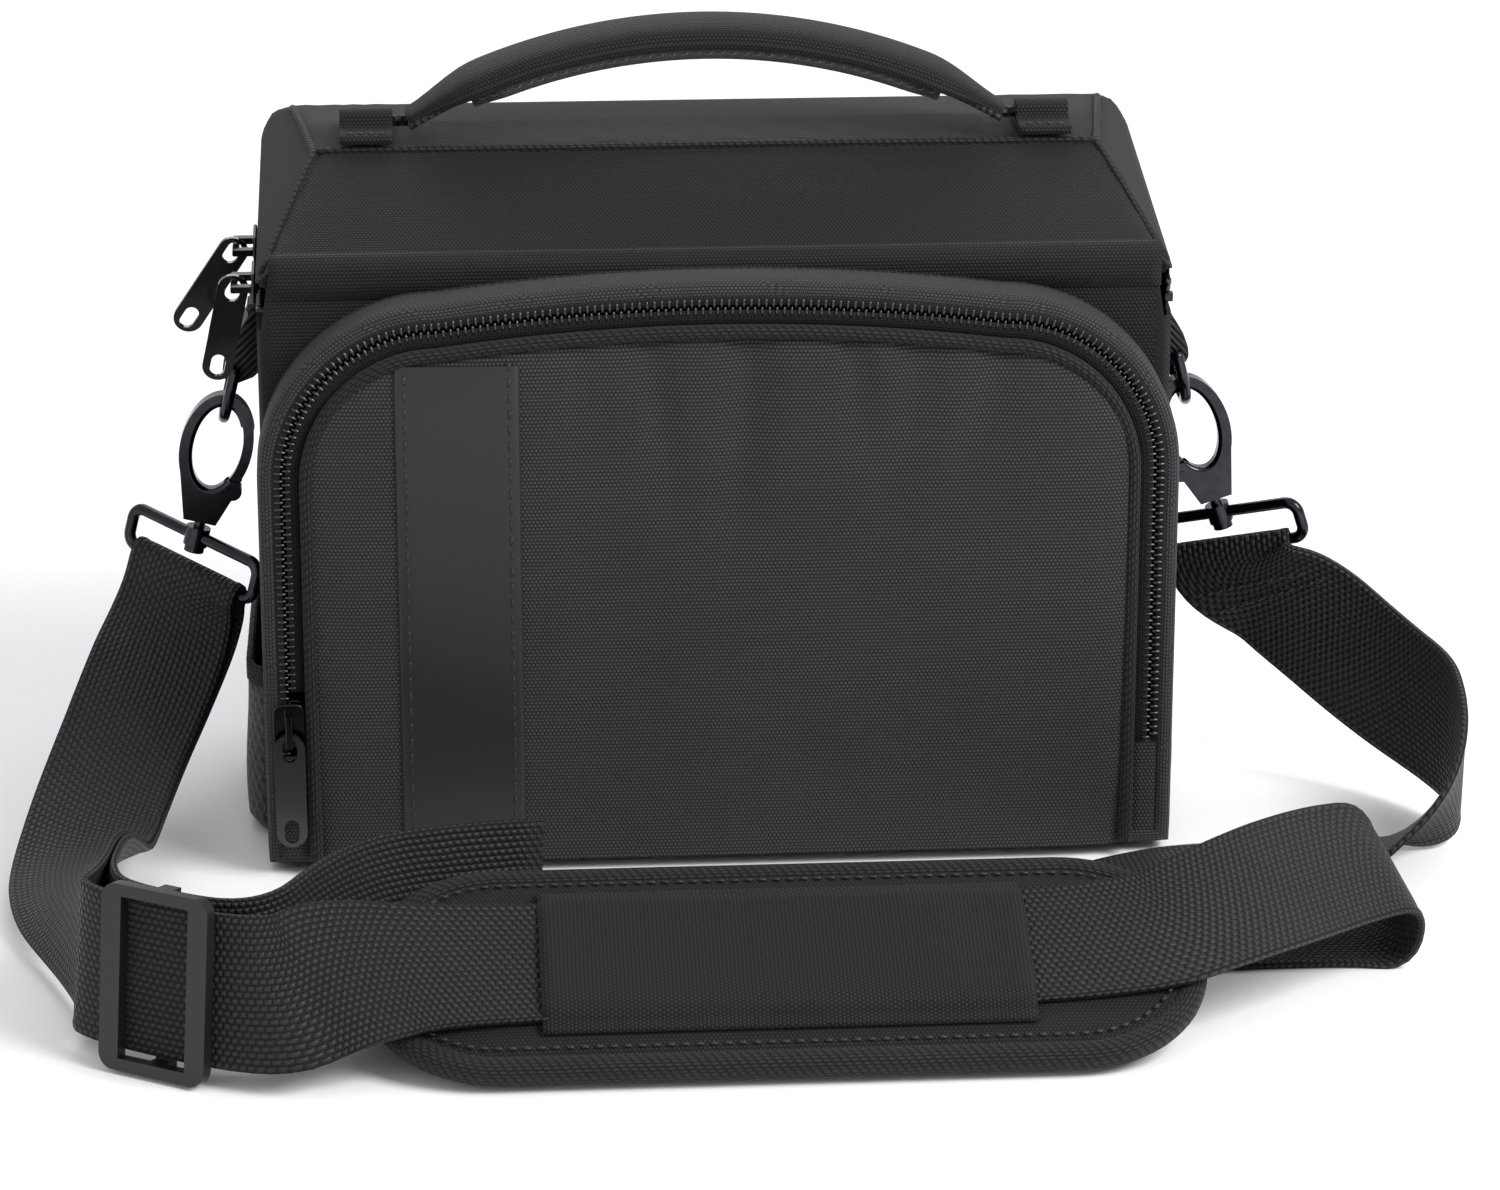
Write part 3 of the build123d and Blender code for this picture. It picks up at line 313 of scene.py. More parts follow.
# Nylon monofilament coil: drawn smooth, so it is glossy.
NYLON = Grained("nylon_coil", "0e0e10", "060607", 0.5, 0.02, 0.26, 0.08, 1.53, coat=0.3)
THREAD = Grained("polyester_thread", "101012", "040405", 0.4, 0.05, 0.5, 0.1, 1.5, sheen=0.05)
BRUSHED_LINING = Grained("brushed_nylon_lining", "55565a", "3e3f43", 0.7, 0.25, 0.9, 0.05, 1.5, sheen=0.5)
BOARD = Grained("polyethylene_board", "202022", "181819", 0.9, 0.04, 0.55, 0.1, 1.51)
# Acetal, moulded in a lightly textured tool: even satin.
ACETAL = Grained("moulded_acetal", "131315", "0d0d0f", 0.35, 0.05, 0.4, 0.06, 1.48)
# Zinc castings plated with black nickel and tumbled: a dark mirror with a soft ripple.
BLACK_NICKEL = Grained("black_nickel_plate", "434348", "1c1c20", 3.0, 0.03, 0.18, 0.07, metallic=1.0)
# The zip pulls have a glossy black enamel over the plating.
BLACK_ENAMEL = Grained("black_enamel", "121214", "0a0a0b", 2.5, 0.02, 0.16, 0.05, 1.52, coat=0.6)


class Slot(Enum):
    """The record's material slots, which new pieces are passed."""

    CANVAS = "dark_canvas"
    PANEL = "panel_canvas"
    LINING = "lining"
    BINDING = "twill_binding"
    TAPE = "zip_tape"
    COIL = "zip_coil"
    LEATHER = "trim_leather"
    MESH = "spacer_mesh"
    WEBBING = "webbing"


# ------------------------------------------------------------------ mesh tools
def smooth_step(low: float, high: float, value: float) -> float:
    """Rise smoothly from 0 at low to 1 at high."""
    t = min(max((value - low) / (high - low), 0.0), 1.0)
    return t * t * (3 - 2 * t)


def spread(start: float, end: float, steps: int) -> list[float]:
    """Evenly spaced numbers from start to end, both included."""
    return [start + (end - start) * i / steps for i in range(steps + 1)]


def resample(points: Sequence[Vector], step: float, closed: bool = False) -> list[Vector]:
    """Space points evenly along a line.

    Args:
        points: The line's points.
        step: Wanted spacing.
        closed: Whether the line runs back to its first point.

    Returns:
        Evenly spaced points; a closed line's first point isn't repeated.
    """
    loop = [*points, points[0]] if closed else list(points)
    reach = [0.0]
    for a, b in zip(loop, loop[1:]):
        reach.append(reach[-1] + (b - a).length)
    count = max(2, round(reach[-1] / step))
    spaced, i = [], 0
    for k in range(count + (0 if closed else 1)):
        at = reach[-1] * k / count
        while i < len(reach) - 2 and reach[i + 1] < at:
            i += 1
        run = reach[i + 1] - reach[i]
        spaced.append(loop[i].lerp(loop[i + 1], (at - reach[i]) / run if run else 0.0))
    return spaced


def same_count(rows: Rows, closed: bool = False) -> Rows:
    """Thin out the longer rows, so that all have as many points as the shortest."""
    width = min(len(row) for row in rows)
    if closed:
        return [[row[round(i * len(row) / width) % len(row)] for i in range(width)] for row in rows]
    return [[row[round(i * (len(row) - 1) / (width - 1))] for i in range(width)] for row in rows]


def write_mesh(name: str, points: Iterable[Vector], faces: list[tuple[int, ...]],
               cloth: list[list[Flat]], finish: Finish) -> bpy.types.Object:
    """Make a smooth-shaded piece from points in millimetres.

    Args:
        name: The piece's name.
        points: Its vertices, in millimetres.
        faces: Vertex indices of each face.
        cloth: Place of each face's corners on the cloth, in millimetres.
        finish: What it is made of.

    Returns:
        The new object.
    """
    mesh = bpy.data.meshes.new(name)
    mesh.from_pydata([p * MM for p in points], [], faces)
    layer = mesh.attributes.new(CLOTH, "FLOAT_VECTOR", "CORNER")
    layer.data.foreach_set("vector", [c for face in cloth for u, v in face for c in (u, v, 0.0)])
    mesh.polygons.foreach_set("use_smooth", [True] * len(faces))
    mesh.materials.append(finish.material())
    mesh.validate()
    piece = bpy.data.objects.new(name, mesh)
    bpy.context.scene.collection.objects.link(piece)
    return piece


def grid(name: str, rows: Rows, finish: Finish, closed: bool = False,
         place: Callable[[Vector], Flat] | None = None, thick: float = 0.0,
         caps: Sequence[int] = ()) -> bpy.types.Object:
    """Make a cloth surface from rows of points.

    Args:
        name: The piece's name.
        rows: Rows of equally many points, in millimetres.
        finish: What it is made of.
        closed: Whether each row runs back to its first point.
        place: Gives a point's place on the cloth; by default its distance along and across the rows.
        thick: Cloth thickness, laid behind the surface.
        caps: Closed rows that are filled in with one face: 0, the last row, or both.

    Returns:
        The new object.
    """
    width = len(rows[0])
    count = width if closed else width - 1
    middle = rows[len(rows) // 2]
    along = [0.0]
    for i in range(count):
        along.append(along[-1] + (middle[(i + 1) % width] - middle[i]).length)
    across = [0.0]
    for a, b in zip(rows, rows[1:]):
        across.append(across[-1] + sum((q - p).length for p, q in zip(a, b)) / width)
    faces, cloth = [], []
    for r in range(len(rows) - 1):
        for c in range(count):
            d = (c + 1) % width
            faces.append((r * width + c, r * width + d, (r + 1) * width + d, (r + 1) * width + c))
            if place:
                cloth.append([place(p) for p in (rows[r][c], rows[r][d], rows[r + 1][d], rows[r + 1][c])])
            else:
                cloth.append([(along[c], across[r]), (along[c + 1], across[r]),
                              (along[c + 1], across[r + 1]), (along[c], across[r + 1])])
    for r in caps:
        lid = [r * width + c for c in range(width)]
        lid = lid if r else list(reversed(lid))
        faces.append(tuple(lid))
        cloth.append([place(rows[r][i % width]) if place else (along[i % width], across[r]) for i in lid])
    piece = write_mesh(name, [p for row in rows for p in row], faces, cloth, finish)
    if thick:
        shell = piece.modifiers.new("cloth", "SOLIDIFY")
        shell.thickness = thick * MM
        shell.offset = -1
    return apply_modifiers(piece)


def apply_modifiers(piece: bpy.types.Object) -> bpy.types.Object:
    """Bake a piece's modifiers into its mesh."""
    if piece.modifiers:
        graph = bpy.context.evaluated_depsgraph_get()
        mesh = bpy.data.meshes.new_from_object(piece.evaluated_get(graph))
        piece.modifiers.clear()
        piece.data = mesh
    return piece


def sweep(name: str, path: Sequence[Vector], section: Sequence[Flat], sides: Sequence[Vector] | Vector,
          finish: Finish, closed: bool = False,
          scale: Callable[[float], Flat] | None = None) -> bpy.types.Object:
    """Sweep a closed section along a path.

    Args:
        name: The piece's name.
        path: Points in millimetres.
        section: Outline as (sideways, upward) offsets in millimetres.
        sides: Direction of the section's sideways axis, one or one for each point.
        finish: What it is made of.
        closed: Whether the path is a loop.
        scale: Gives the section's scale, sideways and upward, at a share of the path's length.

    Returns:
        The new object.
    """
    count = len(path)
    rows = []
    for i, point in enumerate(path):
        before = path[i - 1] if closed or i else path[0]
        after = path[(i + 1) % count] if closed or i < count - 1 else path[-1]
        tangent = (after - before).normalized()
        side = sides if isinstance(sides, Vector) else sides[i]
        side = (side - tangent * side.dot(tangent)).normalized()
        up = side.cross(tangent)
        wide, tall = scale(i / (count - 1)) if scale else (1.0, 1.0)
        rows.append([point + side * (a * wide) + up * (b * tall) for a, b in section])
    girth = [0.0]
    ring = [*section, section[0]]
    for a, b in zip(ring, ring[1:]):
        girth.append(girth[-1] + math.dist(a, b))
    reach = [0.0]
    for a, b in zip(path, [*path[1:], path[0]]):
        reach.append(reach[-1] + (b - a).length)
    n = len(section)
    faces, cloth = [], []
    for r in range(count if closed else count - 1):
        s = (r + 1) % count
        for c in range(n):
            d = (c + 1) % n
            faces.append((r * n + c, r * n + d, s * n + d, s * n + c))
            cloth.append([(reach[r], girth[c]), (reach[r], girth[c + 1]),
                          (reach[r + 1], girth[c + 1]), (reach[r + 1], girth[c])])
    if not closed:
        faces += [tuple(reversed(range(n))), tuple(range((count - 1) * n, count * n))]
        cloth += [[(reach[0], g) for g in girth[:n]], [(reach[count - 1], g) for g in girth[:n]]]
    return write_mesh(name, [p for row in rows for p in row], faces, cloth, finish)


def rounded_bar(wide: float, tall: float, corner: float, steps: int = 3) -> list[Flat]:
    """Outline of a bar with rounded edges, centred on its middle."""
    outline = []
    for x, y, start in ((1, 1, 0), (-1, 1, 90), (-1, -1, 180), (1, -1, 270)):
        for angle in spread(start, start + 90, steps):
            a = math.radians(angle)
            outline.append((x * (wide / 2 - corner) + corner * math.cos(a),
                            y * (tall / 2 - corner) + corner * math.sin(a)))
    return outline


def round_section(radius: float, steps: int = 10) -> list[Flat]:
    """Outline of a round cord."""
    return [(radius * math.cos(2 * math.pi * i / steps), radius * math.sin(2 * math.pi * i / steps))
            for i in range(steps)]


@dataclass
class Bead:
    """One small rounded element: a stitch or one turn of a zip coil."""

    middle: Vector
    along: Vector
    across: Vector
    half: tuple[float, float, float]      # along, across and outward

    def points(self, rings: int, around: int) -> list[Vector]:
        """Vertices of a rounded block, pole to pole."""
        out = self.along.cross(self.across).normalized()
        found = []
        for i in range(rings + 1):
            t = math.pi * i / rings
            for k in range(around):
                a = 2 * math.pi * k / around
                x, y, z = math.sin(t) * math.cos(a), math.cos(t), math.sin(t) * math.sin(a)
                y = math.copysign(abs(y) ** 0.6, y)
                found.append(self.middle + self.along * (x * self.half[0]) + self.across * (y * self.half[1])
                             + out * (z * self.half[2]))
        return found


def beads(name: str, elements: Sequence[Bead], finish: Finish, rings: int = 5,
          around: int = 6) -> bpy.types.Object:
    """Make one piece of many beads.

    Args:
        name: The piece's name.
        elements: Its beads.
        finish: What they are made of.
        rings: Rings of each bead, pole to pole.
        around: Points round each ring.

    Returns:
        The new object.
    """
    points, faces, cloth = [], [], []
    for bead in elements:
        base = len(points)
        points += bead.points(rings, around)
        for i in range(rings):
            for k in range(around):
                m = (k + 1) % around
                face = (base + i * around + k, base + i * around + m,
                        base + (i + 1) * around + m, base + (i + 1) * around + k)
                faces.append(face)
                cloth.append([(0.1 * k, 0.1 * i)] * 4)
    return write_mesh(name, points, faces, cloth, finish)


def along_line(line: Sequence[Vector], pitch: float, start: float = 0.0) -> list[tuple[Vector, Vector]]:
    """Places and directions every pitch along a line."""
    spaced = resample(line, pitch)
    return [(a.lerp(b, start), (b - a).normalized()) for a, b in zip(spaced, spaced[1:])]


def stitches(name: str, line: Sequence[Vector], out: Vector | Callable[[Vector], Vector],
             pitch: float = 3.6, length: float = 2.5) -> bpy.types.Object:
    """Sew a row of lock stitches along a line that lies on a surface.

    Args:
        name: The piece's name.
        line: The row's line.
        out: Direction out of the surface, or a function that gives it at a point.
        pitch: From one stitch to the next.
        length: Each stitch's length.

    Returns:
        The new object.
    """
    elements = []
    for middle, way in along_line(line, pitch, 0.5):
        normal = out(middle) if callable(out) else out
        elements.append(Bead(middle, way, normal.cross(way).normalized(), (length / 2, 0.46, 0.36)))
    return beads(name, elements, THREAD)


def dress(piece: bpy.types.Object, slot: Slot, body: str | None = None, *nodes: str) -> bpy.types.Object:
    """Finish a piece: the body that it rides on and the nodes that it stands for.

    Args:
        piece: The new piece.
        slot: Its material slot; not used.
        body: The body that it rides on, or None to leave it unattached.
        nodes: CAD nodes that it replaces.

    Returns:
        The same piece.
    """
    if body:
        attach(piece, body)
    if nodes:
        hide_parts(*nodes)
    log.info("%s: %d faces", piece.name, len(piece.data.polygons))
    return piece


# ------------------------------------------------------------------ shared sizes of the bag
HALF_WIDTH = 119.0
BODY_FRONT, BODY_BACK = -42.0, 61.0
BODY_MIDDLE, HALF_DEPTH = (BODY_FRONT + BODY_BACK) / 2, (BODY_BACK - BODY_FRONT) / 2
BACK_CORNER, FRONT_CORNER = 14.0, 3.0      # radii of the body's corners, seen from above
ENDS = ((-1, "left"), (1, "right"))        # side and its name
ZIP_FRONT_Y, ZIP_FRONT_Z, ZIP_RISE = -38.0, 150.0, 0.22
ZIP_SLOPE = math.sqrt(1 + ZIP_RISE ** 2)
FABRIC_FROM_ZIP = 6.0         # the cloth's edge, measured from the middle of the zip


def zip_height(y: float) -> float:
    """Height of the main zip's middle line at depth y."""
    return ZIP_FRONT_Z + ZIP_RISE * (y - ZIP_FRONT_Y)


def plan_outline(inset: float, back_corner: float = BACK_CORNER, front_corner: float = FRONT_CORNER,
                 step: float = 3.0) -> list[Vector]:
    """Outline of the bag's body from above, counter-clockwise from its left front.

    Args:
        inset: How far inside the cloth's outer face.
        back_corner: Radius of the corners at the back, at no inset.
        front_corner: Radius of the corners in front, at no inset.
        step: Spacing of the points.

    Returns:
        Points at height 0.
    """
    half = HALF_WIDTH - inset
    low, high = BODY_FRONT + inset, BODY_BACK - inset
    front, back = max(front_corner - inset, 0.5), max(back_corner - inset, 1.0)
    outline = []
    corners = ((-half + front, low + front, front, 180), (half - front, low + front, front, 270),
               (half - back, high - back, back, 0), (-half + back, high - back, back, 90))
    for x, y, radius, start in corners:
        for angle in spread(start, start + 90, 6):
            a = math.radians(angle)
            outline.append(Vector((x + radius * math.cos(a), y + radius * math.sin(a), 0)))
    return resample(outline, step, closed=True)


def zip_line(inset: float, lift: float, step: float = 2.0) -> list[Vector]:
    """A line along the main zip, from its left front round the back to its right front.

    Args:
        inset: How far inside the cloth's outer face.
        lift: Height above the zip's middle, square to the zip's plane.
        step: Spacing of the points.

    Returns:
        The line's points.
    """
    outline = plan_outline(inset, step=0.5)
    sides = [p for p in outline if p.y >= ZIP_FRONT_Y]
    first = next(i for i, p in enumerate(sides) if p.x > 0 and p.y == min(q.y for q in sides if q.x > 0))
    ordered = list(reversed(sides[first:] + sides[:first]))
    line = [Vector((p.x, p.y, zip_height(p.y) + lift * ZIP_SLOPE)) for p in ordered]
    return resample(line, step)


# ------------------------------------------------------------------ shoulder strap
@dataclass
class Station:
    """One control point of the webbing: its middle, and the way across it."""

    middle: Vector
    edge: Vector


@dataclass
class ShoulderStrap:
    """Webbing from ring to ring, with its adjusting layer, tail, pad and sleeve."""

    width: float = 38.0
    thick: float = 1.6
    wrap: float = 2.45            # webbing's middle to the middle of a ring's bar
    behind: float = 2.3           # adjusting layer behind the main run
    length_m: float = 0.91
    tail_m: float = 0.34
    pad_length: float = 206.0
    pad_width: float = 70.0
    pad_thick: float = 7.0
    pad_x: float = 7.5
    pad_front: Flat = (-206.0, 3.6)
    pad_tilt: float = 23.0
    pad_end: float = 34.0
    sleeve: Flat = (118.0, 46.0)
    swivel: Vector = field(default_factory=lambda: Vector((130.0, 5.0, 108.0)))
    ring_drop: float = 45.0       # from the hook's swivel to the ring's lower bar
    ring_tilt: Flat = (14.0, 18.0)
    ring_turn: Flat = (40.0, 30.0)
    glide: Vector = field(default_factory=lambda: Vector((-141.0, -186.0, 23.6)))

    def __post_init__(self) -> None:
        """Work out the frames of the pad, the adjuster and both rings."""
        tilt = math.radians(self.pad_tilt)
        self.pad_across = Vector((0, math.cos(tilt), math.sin(tilt)))
        self.pad_up = Vector((1, 0, 0)).cross(self.pad_across)
        self.pad_middle = Vector((self.pad_x, *self.pad_front)) + self.pad_across * (self.pad_width / 2)
        self.glide_along = Vector((0.85, -0.53, 0)).normalized()
        self.glide_back = Vector((0.53, 0.85, 0)).normalized()
        lean = math.radians(6.0)
        self.glide_up = Vector((0, 0, 1)) * math.cos(lean) + self.glide_back * math.sin(lean)

    def ring(self, side: int) -> tuple[Vector, Vector, Vector, Vector]:
        """Lower bar's middle, way across, way down and face of one strap ring.

        Args:
            side: -1 at the left and 1 at the right.

        Returns:
            The four vectors, in millimetres.
        """
        end = 0 if side < 0 else 1
        tilt, turn = math.radians(self.ring_tilt[end]), math.radians(self.ring_turn[end])
        outward = Vector((side * math.cos(tilt), 0, math.sin(tilt)))
        down = Vector((side * math.sin(tilt), 0, -math.cos(tilt)))
        across = outward * (math.cos(turn) * side) - Vector((0, math.sin(turn), 0))
        bar = Vector((side * self.swivel.x, self.swivel.y, self.swivel.z)) + down * self.ring_drop
        return bar, across, down, down.cross(across).normalized()

    def route(self) -> list[Station]:
        """Control points of the main run, left ring to right ring."""
        bar, across, down, face = self.ring(-1)
        far, far_across, far_down, far_face = self.ring(1)
        lie = self.pad_middle + self.pad_up * (self.pad_thick / 2 + 0.3 + self.thick / 2)
        reach = self.sleeve[0] / 2 + 16
        rows = [
            (bar - down * self.wrap, across),
            (bar - down * self.wrap + face * self.wrap, across),
            (bar + face * self.wrap + down * 10, across),
            (Vector((-152, -14, 39)), Vector((0.78, -0.52, -0.30))),
            (Vector((-163, -34, 18)), Vector((0.82, -0.55, -0.12))),
            (Vector((-168, -60, 9)), Vector((0.86, -0.42, 0.16))),
            (Vector((-168, -92, 14)), Vector((0.84, -0.12, 0.50))),
            (Vector((-163, -126, 21)), Vector((0.45, 0.06, 0.88))),
            (Vector((-159, -158, 23)), Vector((0.12, 0.14, 0.98))),
            (self.glide - self.glide_along * 27, self.glide_up),
            (self.glide + self.glide_along * 31, self.glide_up),
            (Vector((-100, -191, 27)), Vector((0.05, 0.78, 0.62))),
            (lie - Vector((reach + 4, 0, 0)), self.pad_across),
            (lie + Vector((reach + 6, 0, 0)), self.pad_across),
            (Vector((118, -165, 28.5)), Vector((-0.18, 0.90, 0.42))),
            (Vector((148, -140, 28)), Vector((-0.30, 0.83, 0.47))),
            (Vector((166, -130, 26)), Vector((-0.22, 0.86, 0.40))),
            (Vector((167, -124, 1.6)), Vector((-0.05, 1, 0))),
            (Vector((140, -122, 1)), Vector((0, 1, 0))),
            (Vector((112, -123, 1)), Vector((0.05, 1, 0))),
            (Vector((84, -124, 2)), Vector((0, 1, 0))),
            (Vector((82, -123.5, 12)), Vector((0, 1, 0))),
            (Vector((112, -106, 12)), Vector((-0.42, 0.90, 0))),
            (Vector((136, -88, 7)), Vector((-0.40, 0.92, 0))),
            (Vector((160, -80, 3.5)), Vector((-0.05, 0.99, -0.08))),
            (Vector((184, -78, 14)), Vector((0.22, 0.88, -0.42))),
            (Vector((198, -62, 22)), Vector((0.12, 0.50, -0.86))),
            (Vector((198, -36, 26)), Vector((-0.08, 0.12, -0.99))),
            (Vector((182, -14, 34)), Vector((-0.42, 0.36, -0.83))),
            (Vector((163, 0, 49)), Vector((-0.72, 0.46, -0.52))),
            (far + far_face * self.wrap + far_down * 8, -far_across),
            (far - far_down * self.wrap + far_face * self.wrap, -far_across),
            (far - far_down * self.wrap, -far_across),
        ]
        return [Station(middle, edge.normalized()) for middle, edge in rows]

    def tail_route(self) -> list[Station]:
        """Control points of the adjusting layer and its free tail."""
        main = self.route()
        bar, across, down, face = self.ring(-1)
        rows = [main[0], Station(bar - down * self.wrap - face * self.wrap, across),
                Station(bar - face * self.wrap + down * 10, across)]
        for i in range(3, 9):
            way = (main[i + 1].middle - main[i - 1].middle).normalized()
            away = way.cross(main[i].edge).normalized()
            rows.append(Station(main[i].middle - away * self.behind, main[i].edge))
        rows += [
            Station(self.glide - self.glide_along * 15 + self.glide_back * 7, self.glide_up),
            Station(self.glide + self.glide_along * 22 + self.glide_back * 9, self.glide_up),
            Station(Vector((-99, -160, 26)), Vector((-0.05, 0.25, 0.96)).normalized()),
            Station(Vector((-80, -138, 23)), Vector((-0.10, 0.20, 0.97)).normalized()),
            Station(Vector((-50, -126, 20.2)), Vector((-0.03, 0.06, 0.99)).normalized()),
        ]
        return rows

    def smooth_line(self, name: str, points: Sequence[Vector]) -> list[Vector]:
        """Points of the smooth line that has these control points.

        Args:
            name: Name of the curve while it is read.
            points: Control points in millimetres.

        Returns:
            Points along the line, in millimetres.
        """
        curve = bpy.data.curves.new(name, "CURVE")
        curve.dimensions = "3D"
        spline = curve.splines.new("NURBS")
        spline.points.add(len(points) - 1)
        for control, point in zip(spline.points, points):
            control.co = (*(point * MM), 1.0)
        spline.order_u = 3
        spline.use_endpoint_u = True
        spline.resolution_u = 8
        holder = bpy.data.objects.new(name, curve)
        mesh = bpy.data.meshes.new_from_object(holder)
        line = [v.co / MM for v in mesh.vertices]
        bpy.data.objects.remove(holder)
        bpy.data.curves.remove(curve)
        bpy.data.meshes.remove(mesh)
        return line

    def ribbon(self, name: str,
               stations: Sequence[Station]) -> tuple[bpy.types.Object, list[Vector], list[Vector]]:
        """Weave one run of webbing.

        Args:
            name: The piece's name.
            stations: Its control points.

        Returns:
            The piece, its middle line and the ways across it.
        """
        line = self.smooth_line(name, [s.middle for s in stations])
        rim = self.smooth_line(name, [s.middle + s.edge * (self.width / 2) for s in stations])
        edges = [(r - p).normalized() for p, r in zip(line, rim)]
        half = self.width / 2
        # Across the webbing: both selvedges are round and a little thicker than the middle.
        face = [(-half + 0.2, 0.75), (-half + 1.6, 0.95), (-half + 3.2, 0.72)]
        face += [(x, 0.8) for x in spread(-half + 6, half - 6, 6)]
        face += [(-x, y) for x, y in reversed(face[:3])]
        section = face + [(-x, -y) for x, y in face]
        return sweep(name, line, section, edges, WEBBING), line, edges

    def build(self) -> None:
        """Build the webbing, the pad and its sleeve."""
        for name, node, stations, length, far in (
                ("strap_main_run", "strap_webbing", self.route(), self.length_m, "object"),
                ("strap_adjusting_run", "strap_tail", self.tail_route(), self.tail_m, "bare")):
            piece, line, edges = self.ribbon(name, stations)
            dress(piece, Slot.WEBBING, "bag", node)
            path = [p * MM for p in line]
            reach = sum((b - a).length for a, b in zip(path, path[1:]))
            log.info("%s is %.3f m long", name, reach)
            if far == "object":
                self.sew_fold(line, edges)
        self.pad()
        self.pad_sleeve()

    def sew_fold(self, line: Sequence[Vector], edges: Sequence[Vector]) -> None:
        """Sew the folded end at the right ring with two rows of stitches."""
        reach = 0.0
        for i in range(len(line) - 2, 0, -1):
            reach += (line[i + 1] - line[i]).length
            for row, depth in enumerate((14.0, 21.0)):
                if reach - (line[i + 1] - line[i]).length < depth <= reach:
                    out = (line[i + 1] - line[i]).normalized().cross(edges[i]).normalized()
                    for side, end in ((1.15, "outer"), (-1.15, "inner")):
                        ends = [line[i] + edges[i] * a + out * side for a in (-17, 17)]
                        sewn = stitches(f"strap_fold_stitches_{row}_{end}", ends, out * side, 3.0, 2.2)
                        dress(sewn, Slot.WEBBING, "bag")

    def pad_point(self, x: float, across: float, up: float) -> Vector:
        """A point given along, across and out of the pad."""
        return self.pad_middle + Vector((x, 0, 0)) + self.pad_across * across + self.pad_up * up

    def pad_outline(self, inset: float) -> list[Flat]:
        """Outline of the pad, moved inwards."""
        radius = self.pad_end - inset
        length, width = self.pad_length / 2 - inset, self.pad_width / 2 - inset
        outline = []
        for x, y, start in ((1, 1, 0), (-1, 1, 90), (-1, -1, 180), (1, -1, 270)):
            for angle in spread(start, start + 90, 12):
                a = math.radians(angle)
                outline.append(Vector((x * (length - radius) + radius * math.cos(a),
                                       y * (width - radius) + radius * math.sin(a), 0)))
        return [(p.x, p.y) for p in resample(outline, 3.0, closed=True)]

    def pad(self) -> None:
        """Shoulder pad: crowned foam in cloth, its edge bound with twill tape."""
        rows = []
        outline = self.pad_outline(4.0)
        for top in (1, -1):
            shares = [1, 0.985, 0.96, 0.92, 0.86, 0.78, 0.66, 0.5, 0.3, 0.06]
            shares = shares if top < 0 else list(reversed(shares))
            for share in shares:
                crown = (1 - share ** 8) ** 0.5
                lift = top * (1.5 + (1.9 if top > 0 else 1.6) * crown)
                rows.append([self.pad_point(x * share, y * share, lift) for x, y in outline])
        cloth = grid("shoulder_pad_cloth", rows, OXFORD_DARK, closed=True, caps=(0, len(rows) - 1),
                     place=lambda p: (p.x, (p - self.pad_middle).dot(self.pad_across)))
        dress(cloth, Slot.BINDING, "bag", "shoulder_pad")
        edge = [self.pad_point(x, y, 0) for x, y in self.pad_outline(3.6)]
        ways = [(p - self.pad_middle - Vector((p.x - self.pad_x, 0, 0)) * 0.75).normalized() for p in edge]
        bound = sweep("shoulder_pad_binding", edge, rounded_bar(6.6, 6.6, 2.9, 4), ways, TWILL, closed=True)
        dress(bound, Slot.BINDING, "bag")
        inner = [self.pad_point(x, y, 3.55) for x, y in self.pad_outline(7.6)]
        sewn = stitches("shoulder_pad_stitches", [*inner, inner[0]], self.pad_up, 3.4, 2.3)
        dress(sewn, Slot.BINDING, "bag")

    def pad_sleeve(self) -> None:
        """Cloth sleeve that holds the pad on the webbing, sewn down along both long edges."""
        length, width = self.sleeve
        # Across the sleeve: hem, flat margin, then up and over the webbing.
        profile = [(-width / 2, 3.55), (-width / 2 + 0.6, 4.3), (-width / 2 + 2.6, 4.5)]
        profile += [(-19.6, 5.2), (-18.4, 6.6)]
        profile += [(y, 7.1 + 0.35 * math.cos(y / 18 * math.pi / 2)) for y in spread(-15, 15, 10)]
        profile += [(-y, z) for y, z in reversed(profile[:5])]
        rows = []
        for x in spread(-length / 2, length / 2, 46):
            edge = smooth_step(length / 2, length / 2 - 3, abs(x))
            wave = 0.22 * math.sin(x / 11.0) + 0.16 * math.sin(x / 5.3 + 1)
            lifts = [wave * (z - 4) / 3 - 0.5 * (1 - edge) if z > 5 else 0 for y, z in profile]
            rows.append([self.pad_point(x, y, z + lift) for (y, z), lift in zip(profile, lifts)])
        sleeve = grid("pad_sleeve_cloth", rows, OXFORD_DARK, thick=0.8)
        dress(sleeve, Slot.CANVAS, "bag", "pad_sleeve")
        for side, name in ((-1, "front"), (1, "back")):
            reach = length / 2 - 2
            line = [self.pad_point(x, side * (width / 2 - 2.0), 4.75) for x in (-reach, reach)]
            dress(stitches(f"pad_sleeve_stitches_{name}", line, self.pad_up), Slot.CANVAS, "bag")


